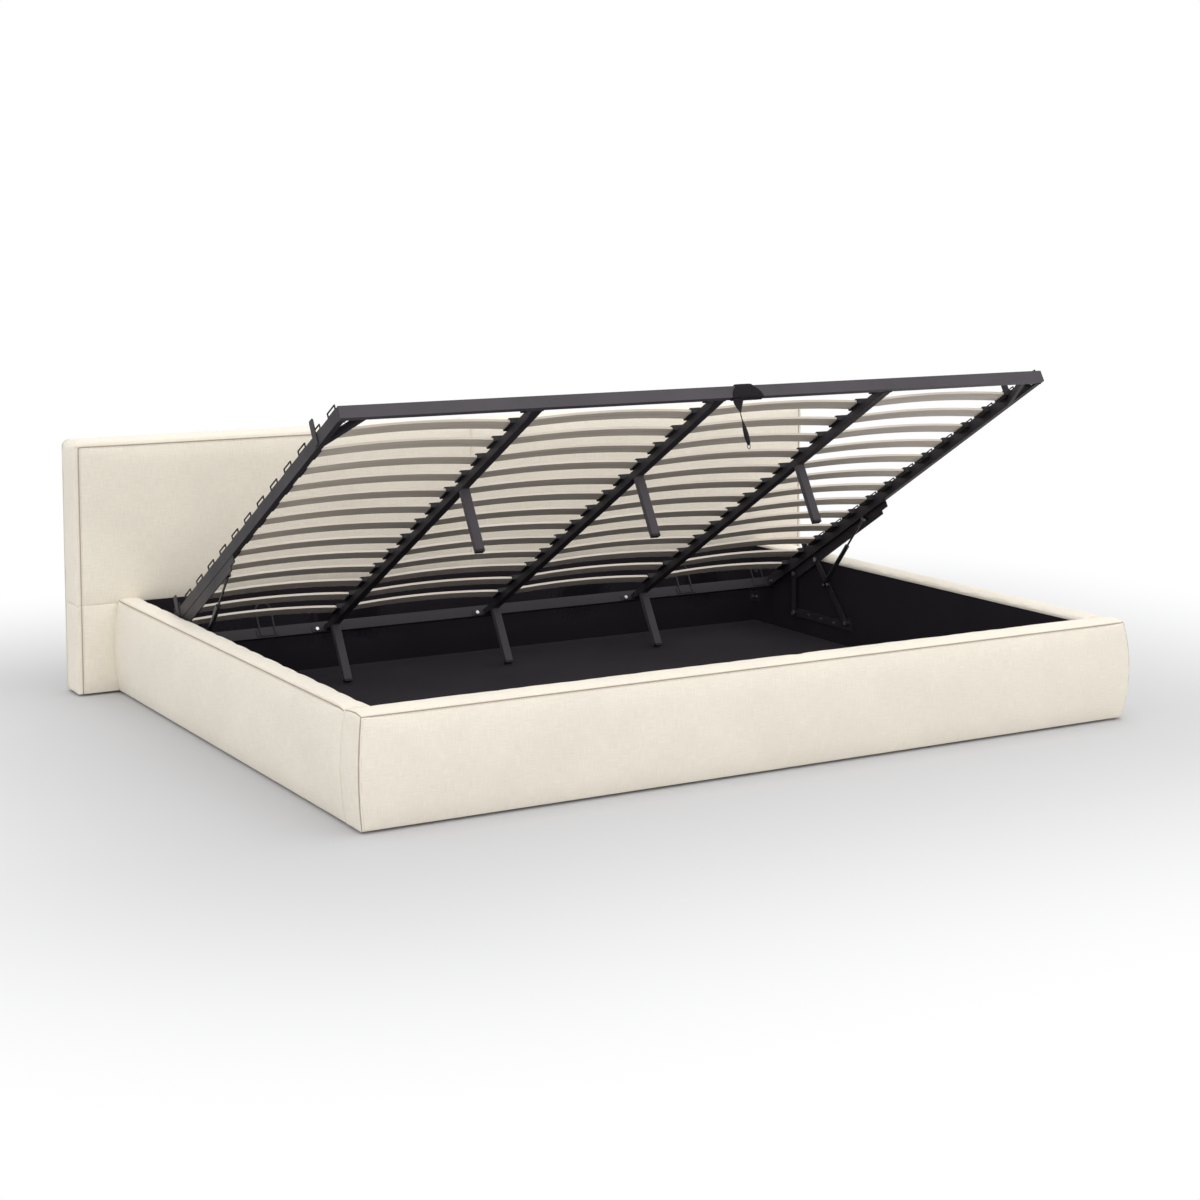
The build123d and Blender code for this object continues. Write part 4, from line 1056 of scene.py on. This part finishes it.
class BED_OT_pull_strap(bpy.types.Operator):
    """Make the webbing round the foot tube and the flap that hangs from it"""

    bl_idname = "bed.pull_strap"
    bl_label = "Pull strap"

    def execute(self, context):
        self.make_wrap()
        self.make_flap()
        return {"FINISHED"}

    def make_wrap(self):
        """The band round the tube: narrow over the top, wide and creased below."""
        left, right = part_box("strap_loop")[0][0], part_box("strap_loop")[1][0]
        middle = (left + right) / 2
        outline = [
            (-0.0022, -0.040), (-0.0024, -0.030), (-0.0026, -0.020), (-0.0026, -0.010), (-0.0022, 0.001),
            (0.001, 0.0052), (0.006, 0.0072), (0.010, 0.0078), (0.014, 0.0072), (0.019, 0.0052),
            (0.0222, 0.001), (0.0226, -0.010), (0.0226, -0.020), (0.0226, -0.030), (0.0222, -0.0400),
            (0.019, -0.0422), (0.013, -0.0424), (0.007, -0.0424), (0.001, -0.0422),
        ]
        over_tube, flare, crease_depth, swell = 0.030, 0.0285, 0.0009, 0.0004
        rows = []
        for n, (row, height) in enumerate(outline):
            lower = min(1.0, max(0.0, -height / TUBE_HEIGHT))
            half = over_tube + flare * (1 - (1 - lower) ** 2)
            points = []
            for share in np.linspace(-1, 1, 15):
                crease = crease_depth * math.sin(9 * share + 0.35 * n) * (0.4 + lower)
                out = abs(crease) + swell * (1 - share ** 4)
                away = Vector((0, row - HALF_TUBE[0], height + HALF_TUBE[1]))
                away = away / max(abs(away[1]) / HALF_TUBE[0], abs(away[2]) / HALF_TUBE[1], 1e-6)
                drow = math.copysign(out, away[1]) if abs(away[1]) > 0.008 else 0
                dheight = math.copysign(out, away[2]) if abs(away[2]) > 0.016 else 0
                place = middle - 0.006 * (1 - lower) + share * half
                points.append(on_frame(place, row + drow, height + dheight))
            rows.append(points)
        wrap = woven_band("strap_wrap", rows, 0.0016, closed=True)
        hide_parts("strap_loop")
        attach(wrap, SLATTED)

    def make_flap(self):
        """The flap: a flared neck, a half twist and a leaf that ends at the ring. Each line across it has
        its drop, its middle, its width and its turn in degrees."""
        low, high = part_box("pull_strap")
        top = high[2] - 0.002
        depth = (low[1] + high[1]) / 2
        left = low[0]
        lines = [
            (0, 0.0165, 0.044, 0), (0.012, 0.0160, 0.041, 6), (0.026, 0.0185, 0.034, 18),
            (0.04, 0.0245, 0.020, 40), (0.048, 0.0265, 0.0125, 62), (0.056, 0.0285, 0.0125, 70),
            (0.07, 0.0325, 0.0185, 52), (0.086, 0.0375, 0.025, 36), (0.102, 0.0425, 0.0285, 26),
            (0.118, 0.0475, 0.028, 20), (0.134, 0.0525, 0.0225, 14), (0.146, 0.0565, 0.015, 8),
            (0.1525, 0.058, 0.011, 4),
        ]
        rows = []
        for drop, middle, width, turn in lines:
            angle = math.radians(turn)
            points = []
            for share in np.linspace(-1, 1, 9):
                across = share * width / 2
                cup = 0.0035 * (1 - share ** 2) * min(1, drop / 0.03)
                points.append((left + middle + across * math.cos(angle) - cup * math.sin(angle),
                               depth + across * math.sin(angle) - cup * math.cos(angle), top - drop))
            rows.append(points)
        flap = woven_band("strap_hanging_flap", rows, 0.0018)
        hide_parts("pull_strap")
        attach(flap, "strap_flap")


class BED_OT_stage(bpy.types.Operator):
    """Set up the pale floor, the soft lamps and the camera"""

    bl_idname = "bed.stage"
    bl_label = "Stage"

    def execute(self, context):
        scene, sizes = context.scene, context.scene.bed_stage
        camera = add_object("camera", bpy.data.cameras.new("camera"))
        camera.location = (-3.9565, -6.8389, 1.7834)
        camera.rotation_euler = (math.radians(90 - 5.663), 0, math.radians(-30.066))
        camera.data.lens = 68.414
        camera.data.sensor_width = 36
        camera.data.shift_y = -0.15
        scene.camera = camera
        scene.view_settings.view_transform = "Standard"
        for name, place, size, power in (
            ("top_lamp", (1.3, -1.0, 5.0), (5.0, 4.0), sizes.top_power),
            ("front_lamp", (-7.0, -15.0, 7.0), (9.0, 6.5), sizes.front_power),
        ):
            lamp = bpy.data.lights.new(name, "AREA")
            lamp.shape = "RECTANGLE"
            lamp.size, lamp.size_y, lamp.energy = *size, power
            holder = add_object(name, lamp)
            holder.location = place
            way = Vector((0, -0.2, 0.3)) - Vector(place)
            holder.rotation_euler = way.to_track_quat("-Z", "Y").to_euler()
        self.light_world(scene, sizes)
        floor = add_object("floor", self.floor_mesh())
        floor.data.materials.append(self.floor_finish(sizes))
        return {"FINISHED"}

    def floor_mesh(self):
        """A wide flat sheet that the bed's glides stand on."""
        built = bmesh.new()
        bmesh.ops.create_grid(built, x_segments=4, y_segments=4, size=60)
        mesh = bpy.data.meshes.new("floor")
        built.to_mesh(mesh)
        built.free()
        return mesh

    def seen_share(self, tree):
        """1 for what the camera sees straight, in gloss or through glass, and 0 for other light."""
        path = add_node(tree, "ShaderNodeLightPath")
        first = combine("ADD", path, "Is Camera Ray", path, "Is Glossy Ray")
        total = combine("ADD", first, "Value", path, "Is Transmission Ray")
        total.use_clamp = True
        return total

    def light_world(self, scene, sizes):
        """White where it is seen, and a soft even light from all round."""
        world = bpy.data.worlds.new("studio")
        scene.world = world
        world.use_nodes = True
        tree = world.node_tree
        ground = tree.nodes["Background"]
        ground.inputs["Color"].default_value = (1, 1, 1, 1)
        join(ramp(self.seen_share(tree), "Value", 0.0, 1.0, sizes.fill, 1.0), "Result", ground, "Strength")

    def distance_share(self, tree, sizes):
        """From the floor's own white beside the bed to all white far from it."""
        step, output = add_node(tree, "ShaderNodeTexCoord"), "Object"
        zero, beside_bed = (0, 0, 0), (1.35, 1.0, 0)
        for operation, value in (("ABSOLUTE", zero), ("SUBTRACT", beside_bed), ("MAXIMUM", zero)):
            step = add_node(tree, "ShaderNodeVectorMath", {0: (step, output), 1: value}, operation=operation)
            output = "Vector"
        away = add_node(tree, "ShaderNodeVectorMath", {0: (step, output)}, operation="LENGTH")
        fade = ramp(away, "Value", 0.1, sizes.floor_fade, sizes.floor_white, 1.0)
        fade.interpolation_type = "SMOOTHSTEP"
        return fade

    def floor_finish(self, sizes):
        """A pale matt floor that shows as near white, with the bed's shadow on it."""
        made, tree, shader = plain_finish("studio_floor", (0.585, 0.585, 0.597), 0.9, Specular_IOR_Level=0.1)
        white = add_node(tree, "ShaderNodeEmission", {"Color": (1, 1, 1, 1), "Strength": 1.0})
        fade = self.distance_share(tree, sizes)
        share = combine("MULTIPLY", self.seen_share(tree), "Value", fade, "Result")
        mix = add_node(tree, "ShaderNodeMixShader", {
            "Fac": (share, "Value"), 1: (shader, "BSDF"), 2: (white, "Emission"),
        })
        join(mix, "Shader", tree.nodes["Material Output"], "Surface")
        return made


class BED_PT_panel(bpy.types.Panel):
    """Everything that builds the bed's looks"""

    bl_idname = "BED_PT_panel"
    bl_label = "Upholstered bed"
    bl_space_type = "VIEW_3D"
    bl_region_type = "UI"
    bl_category = "Bed"

    def draw(self, context):
        for group in GROUPS:
            box = self.layout.box()
            for name in GROUPS[group].__annotations__:
                box.prop(getattr(context.scene, group), name)
        for operator in OPERATORS:
            self.layout.operator(operator.bl_idname)


GROUPS = {
    "bed_covers": CoverSizes,
    "bed_stitches": StitchSizes,
    "bed_colours": BedColours,
    "bed_stage": StageSizes,
}
OPERATORS = (
    BED_OT_stage,
    BED_OT_finishes,
    BED_OT_foot_cover,
    BED_OT_side_covers,
    BED_OT_headboard_covers,
    BED_OT_seams,
    BED_OT_weld_beads,
    BED_OT_pull_strap,
)


def register():
    """Makes the operators, the panel and the sizes known."""
    for group in GROUPS.values():
        bpy.utils.register_class(group)
    for operator in (*OPERATORS, BED_PT_panel):
        bpy.utils.register_class(operator)
    for name, group in GROUPS.items():
        setattr(bpy.types.Scene, name, PointerProperty(type=group))


def unregister():
    """Takes them back in the opposite order."""
    for name in GROUPS:
        delattr(bpy.types.Scene, name)
    for operator in reversed((*OPERATORS, BED_PT_panel)):
        bpy.utils.unregister_class(operator)
    for group in reversed(GROUPS.values()):
        bpy.utils.unregister_class(group)


def main():
    """Builds everything in order."""
    register()
    for operator in OPERATORS:
        area, name = operator.bl_idname.split(".")
        getattr(getattr(bpy.ops, area), name)()


if __name__ == "__main__":
    main()
